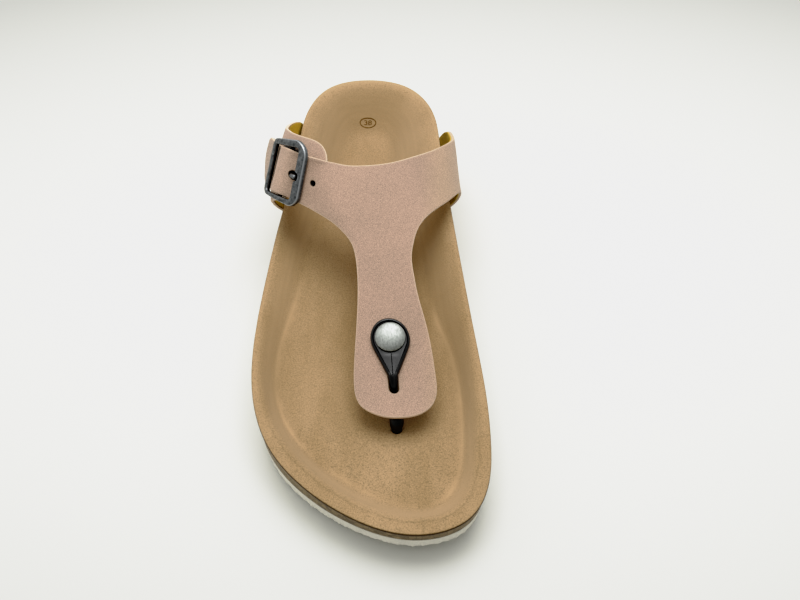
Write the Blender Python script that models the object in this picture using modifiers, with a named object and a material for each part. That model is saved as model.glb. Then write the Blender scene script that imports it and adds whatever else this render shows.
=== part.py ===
"""A right toe post sandal: sole, cork footbed with its cover, T-strap, buckled anchor strap and toe post.

The work is done in millimetres: along the foot from the back of the heel, across it with the big-toe side
positive, and up from the ground. The solids are made in metres, with the toe towards -Y and the origin
under their middle.
"""

import bmesh
import bpy
import numpy as np
from mathutils import Matrix, Vector
from mathutils.geometry import delaunay_2d_cdt

MM = 0.001
LENGTH = 258.0
GAP = 0.3

COVER = 1.5
RIM_LIP, TOE_LIP = 2.6, 5.6
TOE_LIP_FROM, TOE_LIP_AT = 165.0, 245.0
CRISP_WALL, WALL_FILLET = 0.6, 0.22
TOE_SPRING = 6.0
SPRING_START = 186.0
HEEL_LIFT = 1.5
HEEL_ROUND = 14.0
CORK_INSET = 1.5
SOLE_INSET = 3.2
SOLE_EDGE = 1.0

STRAP = 2.0
STRAP_TUCK = 24.0
TUCK_SHARPNESS = 0.75
STRAP_FOOT = 11.6
LEAN = 0.51
TWIST = 0.28
TWIST_DIRECTION = np.array([-0.70, 0.20, 0.68])
WRAP = np.radians(44.0)

BUCKLE_AT = (-50.2, 98.0)
BUCKLE_SWEEP = 0.41
FRAME_LOW, FRAME_THICK = 3.2, 2.2
FRAME_ARCH = 0.010
FRAME_EASED = 0.4
BAR_RADIUS = 0.9
BAR_ENDS = (-13.1, 12.1)
LUG_WIDTH, LUG_DEPTH = 3.4, 1.9
BESIDE_BAR, OVER_BAR = 1.2, 4.7
HUMP_REACH, HUMP_SLOPE = 8.2, 5.4
HUMP_POINTS = ((-8.6, -2.8, 0.0, 2.8, 8.6), (-8.0, -3.0, 3.0, 8.0))
PIN_RADIUS, PIN_TIP = 0.55, 1.05
PIN_REST, PIN_REST_END, PIN_REST_LEVEL = 2.0, 13.2, 2.6
PIN_HOLE = 1.9
PUNCH = 1.3

RIVET_AT = 173.8
RIVET_SHANK = 2.0
TEARDROP_AT = 174.2
TEARDROP_RADIUS = 8.3
TEARDROP_TANGENT = 25.0
TEARDROP_TIP = 193.0
PAD, PAD_BEAD, PAD_FLOOR = 1.7, 0.1, -0.5
POST_AT = (14.1, 204.6)
POST_BORE = 2.5
SLOT = (187.6, 196.2, 2.0)

# along, lateral and medial edge, lateral and medial rim height, lateral and medial wall width, and how far
# from the lip the wall's foot shows as a line on the lateral and the medial side
SECTIONS = np.array([
    (0.0, 0.0, 0.0, 39.0, 39.0, 24.0, 24.0, 24.0, 24.0),
    (6.0, -20.3, 19.6, 39.0, 39.0, 24.0, 24.0, 24.0, 24.0),
    (22.0, -30.3, 30.8, 38.5, 39.0, 23.0, 24.0, 23.0, 24.0),
    (50.0, -34.6, 35.0, 36.5, 40.0, 20.0, 26.0, 20.0, 26.0),
    (75.0, -37.3, 36.9, 34.5, 41.5, 17.0, 29.0, 17.0, 22.0),
    (100.0, -41.0, 39.2, 32.5, 41.5, 15.0, 30.0, 14.0, 15.0),
    (130.0, -44.8, 43.0, 29.5, 36.5, 14.0, 25.0, 12.5, 14.5),
    (165.0, -48.0, 48.2, 25.5, 28.0, 13.0, 15.0, 8.0, 8.4),
    (195.0, -46.4, 52.0, 22.3, 23.2, 12.0, 11.0, 7.0, 7.0),
    (218.0, -38.2, 52.8, 20.4, 20.8, 10.5, 10.0, 8.5, 7.0),
    (236.0, -23.6, 50.8, 19.6, 19.8, 9.5, 9.5, 9.5, 8.0),
    (250.0, -4.6, 43.5, 19.4, 19.4, 9.0, 9.0, 10.5, 10.0),
    (258.0, 24.0, 24.0, 19.3, 19.3, 9.0, 9.0, 10.5, 10.5),
])

# along, height of the footbed's floor, thickness of the outsole
FLOORS = np.array([
    (0.0, 25.0, 12.0),
    (45.0, 22.5, 11.6),
    (75.0, 23.5, 11.6),
    (100.0, 26.0, 10.6),
    (130.0, 24.0, 9.6),
    (165.0, 18.0, 8.6),
    (195.0, 14.8, 7.9),
    (220.0, 14.2, 7.2),
    (258.0, 15.0, 6.4),
])

# along the instep, middle of the strap across, half its span, ridge height, depth to the widest level
RIDGE = np.array([
    (40.0, 1.6, 35.5, 87.0, 44.0),
    (75.0, 1.2, 41.3, 77.0, 36.0),
    (100.0, -0.6, 45.0, 68.5, 31.0),
    (120.0, 3.2, 44.8, 61.0, 27.0),
    (146.0, 8.1, 44.6, 50.0, 20.0),
    (172.0, 11.2, 44.6, 38.0, 15.0),
    (190.0, 12.6, 44.6, 30.6, 12.5),
    (206.0, 14.1, 44.6, 25.6, 11.5),
    (216.0, 15.0, 44.6, 23.4, 11.5),
])

# degrees round the instep from its ridge with the medial side positive, and place along the instep
REAR_EDGE = (
    (174, 61), (150, 58), (130, 57), (115, 57.8), (104, 60), (95, 63.2), (85.5, 69), (73, 75.5), (60, 81.2),
    (43.2, 88.5), (28.5, 93.9), (16.5, 97.5), (3.5, 99.4), (-7.3, 99.5), (-18.6, 98.4), (-23.4, 97.9),
    (-29.4, 96.2), (-35.8, 93.4), (-41.4, 91), (-48.5, 88.2), (-55.8, 85.2),
)
TAIL_END = (
    (-62, 81.7), (-65, 80.2), (-68, 82.4), (-71.8, 87.4), (-74.4, 92.4), (-76.6, 96.6), (-76.2, 99),
)
LATERAL_EDGE = (
    (-73.8, 100), (-70, 101.9), (-63.4, 103.7), (-59.2, 105.5), (-55.5, 107.4), (-51.5, 110.2),
    (-45.2, 113.3), (-38.8, 116.6), (-32.6, 120), (-27, 123.3), (-23.2, 126.1), (-20, 129), (-17.4, 131.8),
    (-15.8, 134.2), (-14.5, 139.8), (-14.7, 145.9), (-15.7, 153.6), (-18.2, 165), (-21.5, 178.8),
    (-23.5, 190.3), (-23.4, 195.5), (-20.4, 200.8), (-13.7, 204.2), (-7.2, 206),
)
MEDIAL_EDGE = (
    (1.1, 206.5), (7.8, 206), (14.8, 204.2), (20.4, 200.8), (23.6, 195.5), (23.9, 189), (22.7, 177.4),
    (20.2, 165), (17.8, 154.8), (17.3, 148.4), (17.5, 140.6), (20.4, 133.7), (24.2, 128.1), (30.7, 122.6),
    (40.4, 117.3), (54.2, 111.3), (78, 102.6), (100, 100.5), (130, 100.5), (174, 101),
)
ANCHOR_REAR = (
    (-174, 60), (-150, 57.5), (-130, 55), (-115, 53.6), (-102, 54.7), (-90, 58), (-75, 66.8), (-65.2, 72.6),
    (-59.2, 75.2), (-51.4, 78.6), (-44.6, 81.2), (-38, 83.6), (-33, 85.2), (-25.8, 88.2),
)
ANCHOR_TIP = ((-22, 92.2), (-21, 98), (-23.5, 103), (-30, 107))
ANCHOR_FRONT = ((-42, 108.5), (-60, 107.5), (-80, 105.5), (-100, 104), (-130, 103), (-174, 102.5))

# degrees and millimetres along from the buckle's middle, radius of the hole
HOLES = ((20.2, 8.8, PUNCH), (7.7, 3.3, PIN_HOLE), (-7.8, -3.0, PUNCH))
# degrees and millimetres along for a millimetre towards the ridge and a millimetre towards the toe
BUCKLE_STEPS = np.array([(1.05, 0.45), (-0.63, 0.87)])
# corners of the buckle's frame and its window: towards the ridge, towards the toe, radius
FRAME_OUTER = np.array([(15.8, 13.6, 5.0), (-9.9, 12.9, 4.4), (-11.7, -12.8, 3.4), (13.7, -17.1, 7.5)])
FRAME_WINDOW = np.array([(11.8, 10.7, 1.3), (-6.9, 11.1, 1.3), (-8.4, -10.5, 1.3), (10.2, -12.7, 1.3)])
# towards the ridge and outwards: the bends of the pin
PIN_BENDS = ((1.5, 1.0), (4.8, 0.62), (6.6, 0.85), (7.4, 2.1), (8.0, 3.3), (9.2, 3.95), (12.3, 3.95))
# share of the pin's length and its radius there
PIN_RADII = np.array([
    (0.0, PIN_RADIUS),
    (0.5, PIN_RADIUS),
    (0.8, PIN_TIP),
    (0.95, PIN_TIP),
    (1.0, PIN_TIP * 0.6),
])
# half width of the teardrop's tail and place along the strap
TAIL = ((2.1, 189.2), (1.7, 191.4))
# across, along and up: the post below the strap
POST_RUN = ((13.8, 198.4, 20.3), (POST_AT[0], 203.2, 17.0), (*POST_AT, 13.5), (*POST_AT, 9.9))
# share of the post's length and its radius there
POST_RADII = np.array([(0.0, 0.7), (0.2, 1.5), (0.55, 2.85), (0.78, 2.1), (1.0, 1.9)])
# radius of the rivet and height on the strap
RIVET_PROFILE = (
    (0.0, 4.1), (2.6, 3.95), (4.6, 3.55), (6.0, 3.0), (6.4, 2.6), (6.2, 2.2), (RIVET_SHANK, 2.2),
    (RIVET_SHANK, -STRAP - GAP), (4.2, -STRAP - GAP), (4.2, -2.8), (3.7, -3.1), (0.0, -3.1),
)

COLOURS = {
    "outsole": (0.80, 0.77, 0.70),
    "footbed": (0.27, 0.19, 0.11),
    "footbed_cover": (0.45, 0.30, 0.16),
    "t_strap": (0.62, 0.44, 0.38),
    "anchor_strap": (0.62, 0.44, 0.38),
    "buckle_frame": (0.12, 0.11, 0.10),
    "buckle_pin": (0.12, 0.11, 0.10),
    "toe_post": (0.01, 0.01, 0.01),
    "rivet": (0.55, 0.54, 0.52),
}
METALS = ("buckle_frame", "buckle_pin", "rivet")


def smooth(t):
    t = np.clip(t, 0.0, 1.0)
    return t * t * (3 - 2 * t)


def spline(knots, rows, at, closed=False):
    """A cubic curve through the rows, with a smooth second derivative, read at the given places."""
    knots, rows, at = (np.asarray(v, float) for v in (knots, rows, at))
    count, step = len(knots), np.diff(knots)
    slope = np.diff(rows, axis=0) / step[:, None]
    left, right = np.zeros((count, count)), np.zeros_like(rows)
    for i in range(1, count - 1):
        left[i, i - 1 : i + 2] = step[i], 2 * (step[i - 1] + step[i]), step[i - 1]
        right[i] = 3 * (step[i] * slope[i - 1] + step[i - 1] * slope[i])
    if closed:
        left[0, 0], left[0, -1] = 1, -1
        left[-1, 0], left[-1, 1], left[-1, -2], left[-1, -1] = 2 * step[-1], step[-1], step[0], 2 * step[0]
        right[-1] = 3 * (step[-1] * slope[0] + step[0] * slope[-1])
    else:
        left[0, :2], right[0] = (2, 1), 3 * slope[0]
        left[-1, -2:], right[-1] = (1, 2), 3 * slope[-1]
    tangent = np.linalg.solve(left, right)
    i = np.clip(np.searchsorted(knots, at, side="right") - 1, 0, count - 2)
    h = step[i][:, None]
    t = (at - knots[i])[:, None] / h
    ends = (1 + 2 * t) * (1 - t) ** 2 * rows[i] + t * t * (3 - 2 * t) * rows[i + 1]
    return ends + h * (t * (1 - t) ** 2 * tangent[i] + t * t * (t - 1) * tangent[i + 1])


def path(points, count, closed=False):
    """A smooth curve through the points, at even steps of its length."""
    points = np.asarray(points, float)
    if closed:
        points = np.vstack([points, points[:1]])
    knots = np.append(0, np.cumsum(np.linalg.norm(np.diff(points[:, :2], axis=0), axis=1)))
    fine = spline(knots, points, np.linspace(0, knots[-1], 4000), closed)
    length = np.append(0, np.cumsum(np.linalg.norm(np.diff(fine[:, :2], axis=0), axis=1)))
    at = np.linspace(0, length[-1], count + 1 if closed else count)
    even = np.stack([np.interp(at, length, column) for column in fine.T], 1)
    return even[:-1] if closed else even


def outline(count):
    """The footbed's edge from the heel by the lateral side, with rim height, wall width and wall foot."""
    lateral, medial = SECTIONS[:, [1, 0, 3, 5, 7]], SECTIONS[:, [2, 0, 4, 6, 8]]
    return path(np.vstack([lateral, medial[-2:0:-1]]), count, closed=True)


EDGE = outline(900)


def inward(loop):
    """The unit vectors that point into a closed loop which runs heel, lateral side, toe, medial side."""
    run = np.roll(loop[:, :2], -1, axis=0) - np.roll(loop[:, :2], 1, axis=0)
    run /= np.linalg.norm(run, axis=1)[:, None]
    return np.stack([run[:, 1], -run[:, 0]], 1)


def edge_at(points):
    """How far inside the footbed's edge each point lies, and which point of the edge is nearest."""
    apart = np.linalg.norm(points[:, None, :2] - EDGE[None, :, :2], axis=2)
    return apart.min(axis=1), apart.argmin(axis=1)


def ground(along):
    toe = TOE_SPRING * np.clip((along - SPRING_START) / (LENGTH - SPRING_START), 0, None) ** 1.7
    heel = HEEL_LIFT * np.clip((HEEL_ROUND - along) / HEEL_ROUND, 0, None) ** 2
    return toe + heel


def parting(along):
    """The height at which the cork meets the outsole."""
    return ground(along) + spline(FLOORS[:, 0], FLOORS[:, 2:], along)[:, 0]


def lip_width(along):
    return RIM_LIP + (TOE_LIP - RIM_LIP) * smooth((along - TOE_LIP_FROM) / (TOE_LIP_AT - TOE_LIP_FROM))


def ramp(t):
    """An even slope from 0 to 1 with a fillet at each end."""
    t, w = np.clip(t, 0.0, 1.0), WALL_FILLET
    even_slope = np.clip((t - w / 2) / (1 - w), 0, 1)
    low, high = t * t / (2 * w * (1 - w)), 1 - (1 - t) ** 2 / (2 * w * (1 - w))
    return np.where(t < w, low, np.where(t > 1 - w, high, even_slope))


def foot_height(points):
    inside, near = edge_at(points)
    rim, wall, foot = EDGE[near, 2:].T
    floor = spline(FLOORS[:, 0], FLOORS[:, 1:2], points[:, 1])[:, 0]
    inside = inside - lip_width(EDGE[near, 1])
    fall = CRISP_WALL * ramp(inside / foot) + (1 - CRISP_WALL) * smooth(inside / wall)
    return floor + (rim - floor) * (1 - fall)


def twist(angle, along):
    """How far the lateral arm turns out at its rear and in at its front, where the buckle pulls on it."""
    middle = 99.0 + 0.3 * (angle + 51.75)
    reach = smooth((-angle - 12) / 26) * smooth((angle + 90) / 24)
    return -TWIST * reach * 14 * np.tanh((along - middle) / 14)


def last(angle, along):
    """Points of the form that the straps are pulled over, from degrees round it and places along it."""
    angle, along = np.atleast_1d(np.asarray(angle, float)), np.atleast_1d(np.asarray(along, float))
    middle, span, ridge, depth = spline(RIDGE[:, 0], RIDGE[:, 1:], along).T
    side, fall = np.sin(np.radians(np.abs(angle))), np.cos(np.radians(angle))
    wide = ridge - depth
    over = np.abs(angle) <= 90
    tucked = STRAP_TUCK + (span - STRAP_TUCK) * np.clip(side, 0, None) ** TUCK_SHARPNESS
    across = middle + np.sign(angle) * np.where(over, span * side, tucked)
    height = np.where(over, ridge - depth * (1 - fall), wide + (wide - STRAP_FOOT) * fall)
    points = np.stack([across, along - LEAN * (ridge - height), height], 1)
    return points + twist(angle, along)[:, None] * TWIST_DIRECTION


def last_normal(angle, along):
    angle, along = np.atleast_1d(np.asarray(angle, float)), np.atleast_1d(np.asarray(along, float))
    turn = last(angle + 0.05, along) - last(angle - 0.05, along)
    run = last(angle, along + 0.05) - last(angle, along - 0.05)
    normal = np.cross(turn, run)
    return normal / np.linalg.norm(normal, axis=1)[:, None]


def buckle_axes():
    """The buckle's middle on the anchor strap, and its directions to the ridge, to the toe and outwards."""
    angle, along = BUCKLE_AT
    step = np.array([-4.0, 4.0])
    ends = last(angle + step, along + BUCKLE_SWEEP * step)
    middle, out = last(angle, along)[0], last_normal(angle, along)[0]
    to_ridge = ends[1] - ends[0]
    to_ridge -= out * (to_ridge @ out)
    to_ridge /= np.linalg.norm(to_ridge)
    return middle, to_ridge, np.cross(out, to_ridge), out


BUCKLE = buckle_axes()


def strap_lift(angle, along):
    """How far the T-strap stands off the form, on the anchor strap and level through the buckle."""
    middle, to_ridge, to_toe, out = BUCKLE
    lift = (STRAP + GAP + 0.1) * smooth((-angle - 8) / 14) * smooth((138 - along) / 18)
    normal = last_normal(angle, along)
    reach = last(angle, along) + normal * lift[:, None] - middle
    from_bar, aside = reach @ to_ridge, reach @ to_toe
    beyond = np.abs(from_bar) - HUMP_REACH
    level = BESIDE_BAR + (OVER_BAR - BESIDE_BAR) * smooth(-beyond / HUMP_SLOPE)
    level -= 0.14 * np.clip(beyond - 1, 0, None)
    held = smooth((20 - from_bar) / 8) * smooth((16 - np.abs(aside)) / 4) * (angle < 0)
    return lift + held * (level - reach @ out) / np.clip(normal @ out, 0.5, 1)


def no_lift(angle, along):
    return np.zeros(len(angle))


def pulled(points, off):
    """Points given as degrees round the form and places along it, stood off by the given distance."""
    angle, along = points.T
    return last(angle, along) + last_normal(angle, along) * np.reshape(off, (-1, 1))


def within(loop, points):
    """Whether each point lies inside the closed loop."""
    ax, ay = loop[:, 0], loop[:, 1]
    bx, by = np.roll(ax, -1), np.roll(ay, -1)
    px, py = points[:, :1], points[:, 1:2]
    rise = np.where(by == ay, 1e-12, by - ay)
    crossed = ((ay > py) != (by > py)) & (px < (bx - ax) * (py - ay) / rise + ax)
    return crossed.sum(axis=1) % 2 == 1


def triangulate(outer, holes=(), inner=()):
    """Triangles through the inner points, inside the outer loop and outside the holes."""
    loops = [np.asarray(outer, float), *(np.asarray(h, float) for h in holes)]
    points, edges, first = np.vstack([*loops, *(np.reshape(p, (-1, 2)) for p in inner)]), [], 0
    for loop in loops:
        edges += [(first + i, first + (i + 1) % len(loop)) for i in range(len(loop))]
        first += len(loop)
    found = delaunay_2d_cdt([Vector(p) for p in points], edges, [], 1, 1e-5)
    flat, faces = np.array([p[:] for p in found[0]]), np.array(found[2])
    centre = flat[faces].mean(axis=1)
    keep = within(loops[0], centre)
    for hole in loops[1:]:
        keep &= ~within(hole, centre)
    return flat, faces[keep]


def fill(outer, holes, spacing, stretch=1.0, taken=()):
    """An even grid of points inside a region, clear of its edges and of the points taken already."""
    loops = [np.asarray(outer, float), *(np.asarray(h, float) for h in holes)]
    low, high = loops[0].min(axis=0), loops[0].max(axis=0)
    columns, rows = np.arange(low[0], high[0], spacing / stretch), np.arange(low[1], high[1], spacing)
    grid = np.stack(np.meshgrid(columns, rows), 2).reshape(-1, 2)
    grid = grid[within(loops[0], grid)]
    for points in [*loops, *taken]:
        apart = np.linalg.norm((grid[:, None] - points[None]) * (stretch, 1), axis=2).min(axis=1)
        grid = grid[apart > spacing * 0.55]
    for hole in loops[1:]:
        grid = grid[~within(hole, grid)]
    return grid


def node(name, mesh):
    """A named object of the sandal, with its own material."""
    material = bpy.data.materials.new(name)
    material.use_nodes = True
    shader = material.node_tree.nodes["Principled BSDF"]
    shader.inputs["Base Color"].default_value = (*COLOURS[name], 1)
    shader.inputs["Roughness"].default_value = 0.45 if name in METALS else 0.8
    shader.inputs["Metallic"].default_value = 1.0 if name in METALS else 0.0
    mesh.materials.append(material)
    made = bpy.data.objects.new(name, mesh)
    PARTS.objects.link(made)
    return made


def placed(points):
    """Millimetres across, along and up, as metres in the object's frame."""
    points = np.asarray(points, float)
    return np.stack([points[:, 0], LENGTH / 2 - points[:, 1], points[:, 2]], 1) * MM


def stack(faces, layers):
    """A closed mesh with the first layer on top, the last below and walls round the edges."""
    shape = bmesh.new()
    sides = np.concatenate([faces[:, [0, 1]], faces[:, [1, 2]], faces[:, [2, 0]]])
    known = {(int(a), int(b)) for a, b in sides}
    rim = [(a, b) for a, b in known if (b, a) not in known]
    on_rim = {a for edge in rim for a in edge}
    verts = []
    for level, layer in enumerate(layers):
        whole = level in (0, len(layers) - 1)
        used = {int(i) for i in faces.ravel()} if whole else on_rim
        spots = placed(layer)
        verts.append({i: shape.verts.new(spots[i]) for i in sorted(used)})
    for a, b, c in faces.tolist():
        shape.faces.new((verts[0][a], verts[0][b], verts[0][c]))
        shape.faces.new((verts[-1][c], verts[-1][b], verts[-1][a]))
    for upper, lower in zip(verts, verts[1:]):
        for a, b in sorted(rim):
            shape.faces.new((upper[b], upper[a], lower[a], lower[b]))
    bmesh.ops.recalc_face_normals(shape, faces=shape.faces)
    mesh = bpy.data.meshes.new("mesh")
    shape.to_mesh(mesh)
    shape.free()
    return mesh


def cut(target, mesh, name, operation="DIFFERENCE"):
    """Cuts the target by a mesh, or joins the mesh to it."""
    tool = bpy.data.objects.new(name, mesh)
    CUTTERS.objects.link(tool)
    tool.hide_render = True
    tool.display_type = "WIRE"
    boolean = target.modifiers.new(name, "BOOLEAN")
    boolean.operation, boolean.solver, boolean.object = operation, "EXACT", tool
    return tool


def edge_loop(inset, count):
    """The footbed's edge moved inwards, without the parts that cross where it turns sharply."""
    loop = EDGE[:, :2] + inward(EDGE) * inset
    loop = loop[edge_at(loop)[0] > inset - 0.05]
    return path(loop, count, closed=True)


def drawn_in(flat, inset, height):
    """Points at the given heights, moved inwards by the inset at the edge and less towards the middle."""
    apart, near = edge_at(flat)
    ease = np.clip(1 - apart / 24, 0, 1)
    return np.column_stack([flat + inward(EDGE)[near] * inset * ease[:, None], height])


def sole_nodes():
    edge = outline(84)
    into, lip = inward(edge), lip_width(edge[:, 1])
    insets = [np.minimum(lip + edge[:, 4] * share, 15.0)[:, None] for share in (0.0, 0.25, 0.6, 1.0)]
    edge = edge[:, :2]
    core = [edge_loop(18.0, 48), edge_loop(24.0, 36), fill(edge_loop(28.0, 40), (), 16.0)]
    flat, faces = triangulate(edge, inner=[*(edge + into * inset for inset in insets), *core])
    top = foot_height(flat)
    skin = [drawn_in(flat, 0.0, top), drawn_in(flat, 0.15, top - COVER)]
    cover = node("footbed_cover", stack(faces, skin))
    low = parting(flat[:, 1]) + GAP / 2
    body = [drawn_in(flat, 0.2, top - COVER - GAP), drawn_in(flat, CORK_INSET, low)]
    cork = node("footbed", stack(faces, body))
    inner = [edge + into * 3.5, edge_loop(16.0, 30), fill(edge_loop(22.0, 40), (), 18.0)]
    flat, faces = triangulate(edge, inner=inner)
    meet, low = parting(flat[:, 1]) - GAP / 2, ground(flat[:, 1])
    eased = drawn_in(flat, SOLE_INSET - 0.9, low + SOLE_EDGE)
    foam = [drawn_in(flat, CORK_INSET, meet), eased, drawn_in(flat, SOLE_INSET, low)]
    node("outsole", stack(faces, foam))
    return cover, cork


def ring(centre, radius, count, stretch=1.0):
    turn = np.linspace(0, 2 * np.pi, count, endpoint=False)
    return np.stack([centre[0] + radius * np.cos(turn) / stretch, centre[1] + radius * np.sin(turn)], 1)


def strap_mesh(outer, holes, spacing, lift, *bends):
    """A strap cut flat from its outline and holes, with points where it bends, then pulled over the form."""
    flat, faces = triangulate(outer, holes, [*bends, fill(outer, holes, spacing, WRAP, bends)])
    off = lift(flat[:, 0], flat[:, 1])
    return stack(faces, [pulled(flat, off), pulled(flat, off - STRAP)])


def even(points, spacing, ends=True):
    """A smooth run through table points, sampled about every spacing millimetres."""
    run = np.array(points, float) * (WRAP, 1)
    count = max(3, int(np.linalg.norm(np.diff(run, axis=0), axis=1).sum() / spacing) + 1)
    found = path(run, count) / (WRAP, 1)
    return found if ends else found[1:-1]


def t_strap_outline(spacing):
    return np.vstack([
        even(REAR_EDGE, spacing),
        even((REAR_EDGE[-1], *TAIL_END, LATERAL_EDGE[0]), spacing, False),
        even(LATERAL_EDGE + MEDIAL_EDGE, spacing),
        even((MEDIAL_EDGE[-1], REAR_EDGE[0]), spacing * 1.5, False),
    ])


def anchor_outline(spacing):
    return np.vstack([
        even(ANCHOR_REAR + ANCHOR_TIP + ANCHOR_FRONT, spacing),
        even((ANCHOR_FRONT[-1], ANCHOR_REAR[0]), spacing * 1.5, False),
    ])


def punched():
    """The holes along the lateral arm: centre and radius of each."""
    angle, along = BUCKLE_AT
    return [((angle + turn, along + run), radius) for turn, run, radius in HOLES]


def slot_loop(count=6):
    start, end, half = SLOT
    turn = np.linspace(0, np.pi, count)
    far = np.stack([half * np.cos(turn), end - half + half * np.sin(turn)], 1)
    near = np.stack([-half * np.cos(turn), start + half - half * np.sin(turn)], 1)
    return np.vstack([far, near]) / (WRAP, 1)


def strap_nodes():
    holes = [ring(centre, radius, 12, WRAP) for centre, radius in punched()]
    holes += [slot_loop(), ring((0.0, RIVET_AT), RIVET_SHANK + GAP, 12, WRAP)]
    rows = np.stack(np.meshgrid(*HUMP_POINTS), 2).reshape(-1, 2)
    hump = BUCKLE_AT + rows @ BUCKLE_STEPS
    node("t_strap", strap_mesh(t_strap_outline(5.0), holes, 6.5, strap_lift, hump))
    node("anchor_strap", strap_mesh(anchor_outline(5.0), [], 6.5, no_lift))


def pocket(rear, front):
    """The room under the cork's edge that takes the lasted end of a strap between its two edges."""
    angles = np.linspace(112, 177.5, 12)
    first, final = (np.interp(angles, *np.abs(np.array(edge, float)).T) for edge in (rear[::-1], front))
    share = np.linspace(0, 1, 9)[:, None]
    alongs = first - 0.6 + share * (final - first + 1.2)
    flat = np.stack([np.broadcast_to(np.sign(rear[0][0]) * angles, alongs.shape), alongs], 2).reshape(-1, 2)
    index = np.arange(len(flat)).reshape(alongs.shape)
    quads = np.stack([index[:-1, :-1], index[:-1, 1:], index[1:, 1:], index[1:, :-1]], 2).reshape(-1, 4)
    faces = np.vstack([quads[:, [0, 1, 2]], quads[:, [0, 2, 3]]])
    upper, lower = pulled(flat, np.full(len(flat), -STRAP - 0.4)), pulled(flat, np.full(len(flat), 0.4))
    lower[:, 2] -= 4.0
    return stack(faces, [upper, lower])


def in_buckle(points):
    """Points in the buckle's own directions, as places in the shared frame."""
    middle, to_ridge, to_toe, out = BUCKLE
    points = np.asarray(points, float)
    return middle + points[:, :1] * to_ridge + points[:, 1:2] * to_toe + points[:, 2:] * out


def rounded(corners, count=5):
    """A closed outline of straight sides and arcs, from its corners with the radius at each."""
    loop = []
    spots, radii = corners[:, :2], corners[:, 2]
    for before, here, after, radius in zip(np.roll(spots, 1, 0), spots, np.roll(spots, -1, 0), radii):
        back, on = ((end - here) / np.linalg.norm(end - here) for end in (before, after))
        half = np.arccos(back @ on) / 2
        centre = here + (back + on) / np.linalg.norm(back + on) * radius / np.sin(half)
        start, end = (here + side * radius / np.tan(half) - centre for side in (back, on))
        spokes = start + np.linspace(0, 1, count)[:, None] * (end - start)
        loop.append(centre + spokes * radius / np.linalg.norm(spokes, axis=1)[:, None])
    return np.vstack(loop)


def box_mesh(low, high):
    """A box in the buckle's directions."""
    corners = np.array([(low[0], low[1]), (high[0], low[1]), (high[0], high[1]), (low[0], high[1])], float)
    faces = np.array([(0, 1, 2), (0, 2, 3)])
    return stack(faces, [in_buckle(np.column_stack([corners, np.full(4, z)])) for z in (high[2], low[2])])


def tube_mesh(points, radii, sides=10):
    """A round bar swept along points, with a radius at each and flat ends."""
    points = np.asarray(points, float)
    run = np.gradient(points, axis=0)
    run /= np.linalg.norm(run, axis=1)[:, None]
    guide = np.array([1.0, 0.0, 0.0]) if abs(run[:, 0]).max() < 0.8 else np.array([0.0, 0.0, 1.0])
    first = np.cross(run, guide)
    first /= np.linalg.norm(first, axis=1)[:, None]
    second = np.cross(run, first)
    turn = np.linspace(0, 2 * np.pi, sides, endpoint=False)
    shape = bmesh.new()
    rings = []
    for p, u, v, r in zip(points, first, second, radii):
        spots = placed(p + r * (np.outer(np.cos(turn), u) + np.outer(np.sin(turn), v)))
        rings.append([shape.verts.new(spot) for spot in spots])
    for near, far in zip(rings, rings[1:]):
        for i in range(sides):
            j = (i + 1) % sides
            shape.faces.new((near[i], near[j], far[j], far[i]))
    shape.faces.new(rings[0][::-1])
    shape.faces.new(rings[-1])
    bmesh.ops.recalc_face_normals(shape, faces=shape.faces)
    mesh = bpy.data.meshes.new("mesh")
    shape.to_mesh(mesh)
    shape.free()
    return mesh


def buckle_nodes():
    middle = (FRAME_OUTER + FRAME_WINDOW)[:, :2] / 2
    share = np.linspace(0, 1, 6)[1:-1, None]
    inner = [here + (after - here) * share for here, after in zip(middle, np.roll(middle, -1, 0))]
    flat, faces = triangulate(rounded(FRAME_OUTER), [rounded(FRAME_WINDOW)], [middle, *inner])
    arch = -FRAME_ARCH * flat[:, 0] ** 2
    levels = [np.column_stack([flat, FRAME_LOW + arch + up]) for up in (FRAME_THICK, 0.0)]
    frame = node("buckle_frame", stack(faces, [in_buckle(level) for level in levels]))
    bevel = frame.modifiers.new("eased edges", "BEVEL")
    bevel.width, bevel.segments, bevel.limit_method = FRAME_EASED * MM, 1, "ANGLE"
    bevel.angle_limit = np.radians(50)
    level = GAP + BAR_RADIUS
    bar = tube_mesh(in_buckle([(0, end, level) for end in BAR_ENDS]), [BAR_RADIUS] * 2)
    cut(frame, bar, "centre_bar", "UNION")
    half, deep = LUG_WIDTH / 2, LUG_DEPTH / 2
    for side, end in zip(("rear", "front"), BAR_ENDS):
        lug = box_mesh((-half, end - deep, level - 0.7), (half, end + deep, FRAME_LOW + 0.8))
        cut(frame, lug, f"lug_{side}", "UNION")
    room = box_mesh((6.0, -PIN_REST, PIN_REST_LEVEL), (PIN_REST_END, PIN_REST, PIN_REST_LEVEL + 4))
    cut(frame, room, "pin_rest")
    run = path(PIN_BENDS, 16)
    run = in_buckle(np.stack([run[:, 0], np.zeros(16), run[:, 1]], 1))
    node("buckle_pin", tube_mesh(run, np.interp(np.linspace(0, 1, 16), *PIN_RADII.T), 8))


def teardrop(grow, count):
    """The outline of the pad on the strap, grown or shrunk, as distance across and place along."""
    round_head = TEARDROP_RADIUS + grow
    turn = np.radians(np.linspace(-180 - TEARDROP_TANGENT, TEARDROP_TANGENT, count))
    head = np.stack([round_head * np.cos(turn), TEARDROP_AT + round_head * np.sin(turn)], 1)
    tail = np.array(TAIL) + (grow, 0)
    flank = head[-1] + (tail[0] - head[-1]) * np.linspace(0, 1, 5)[1:-1, None]
    right = np.vstack([flank, tail])
    return np.vstack([head, right, [(0.0, TEARDROP_TIP + grow)], right[::-1] * (-1, 1)])


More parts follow.
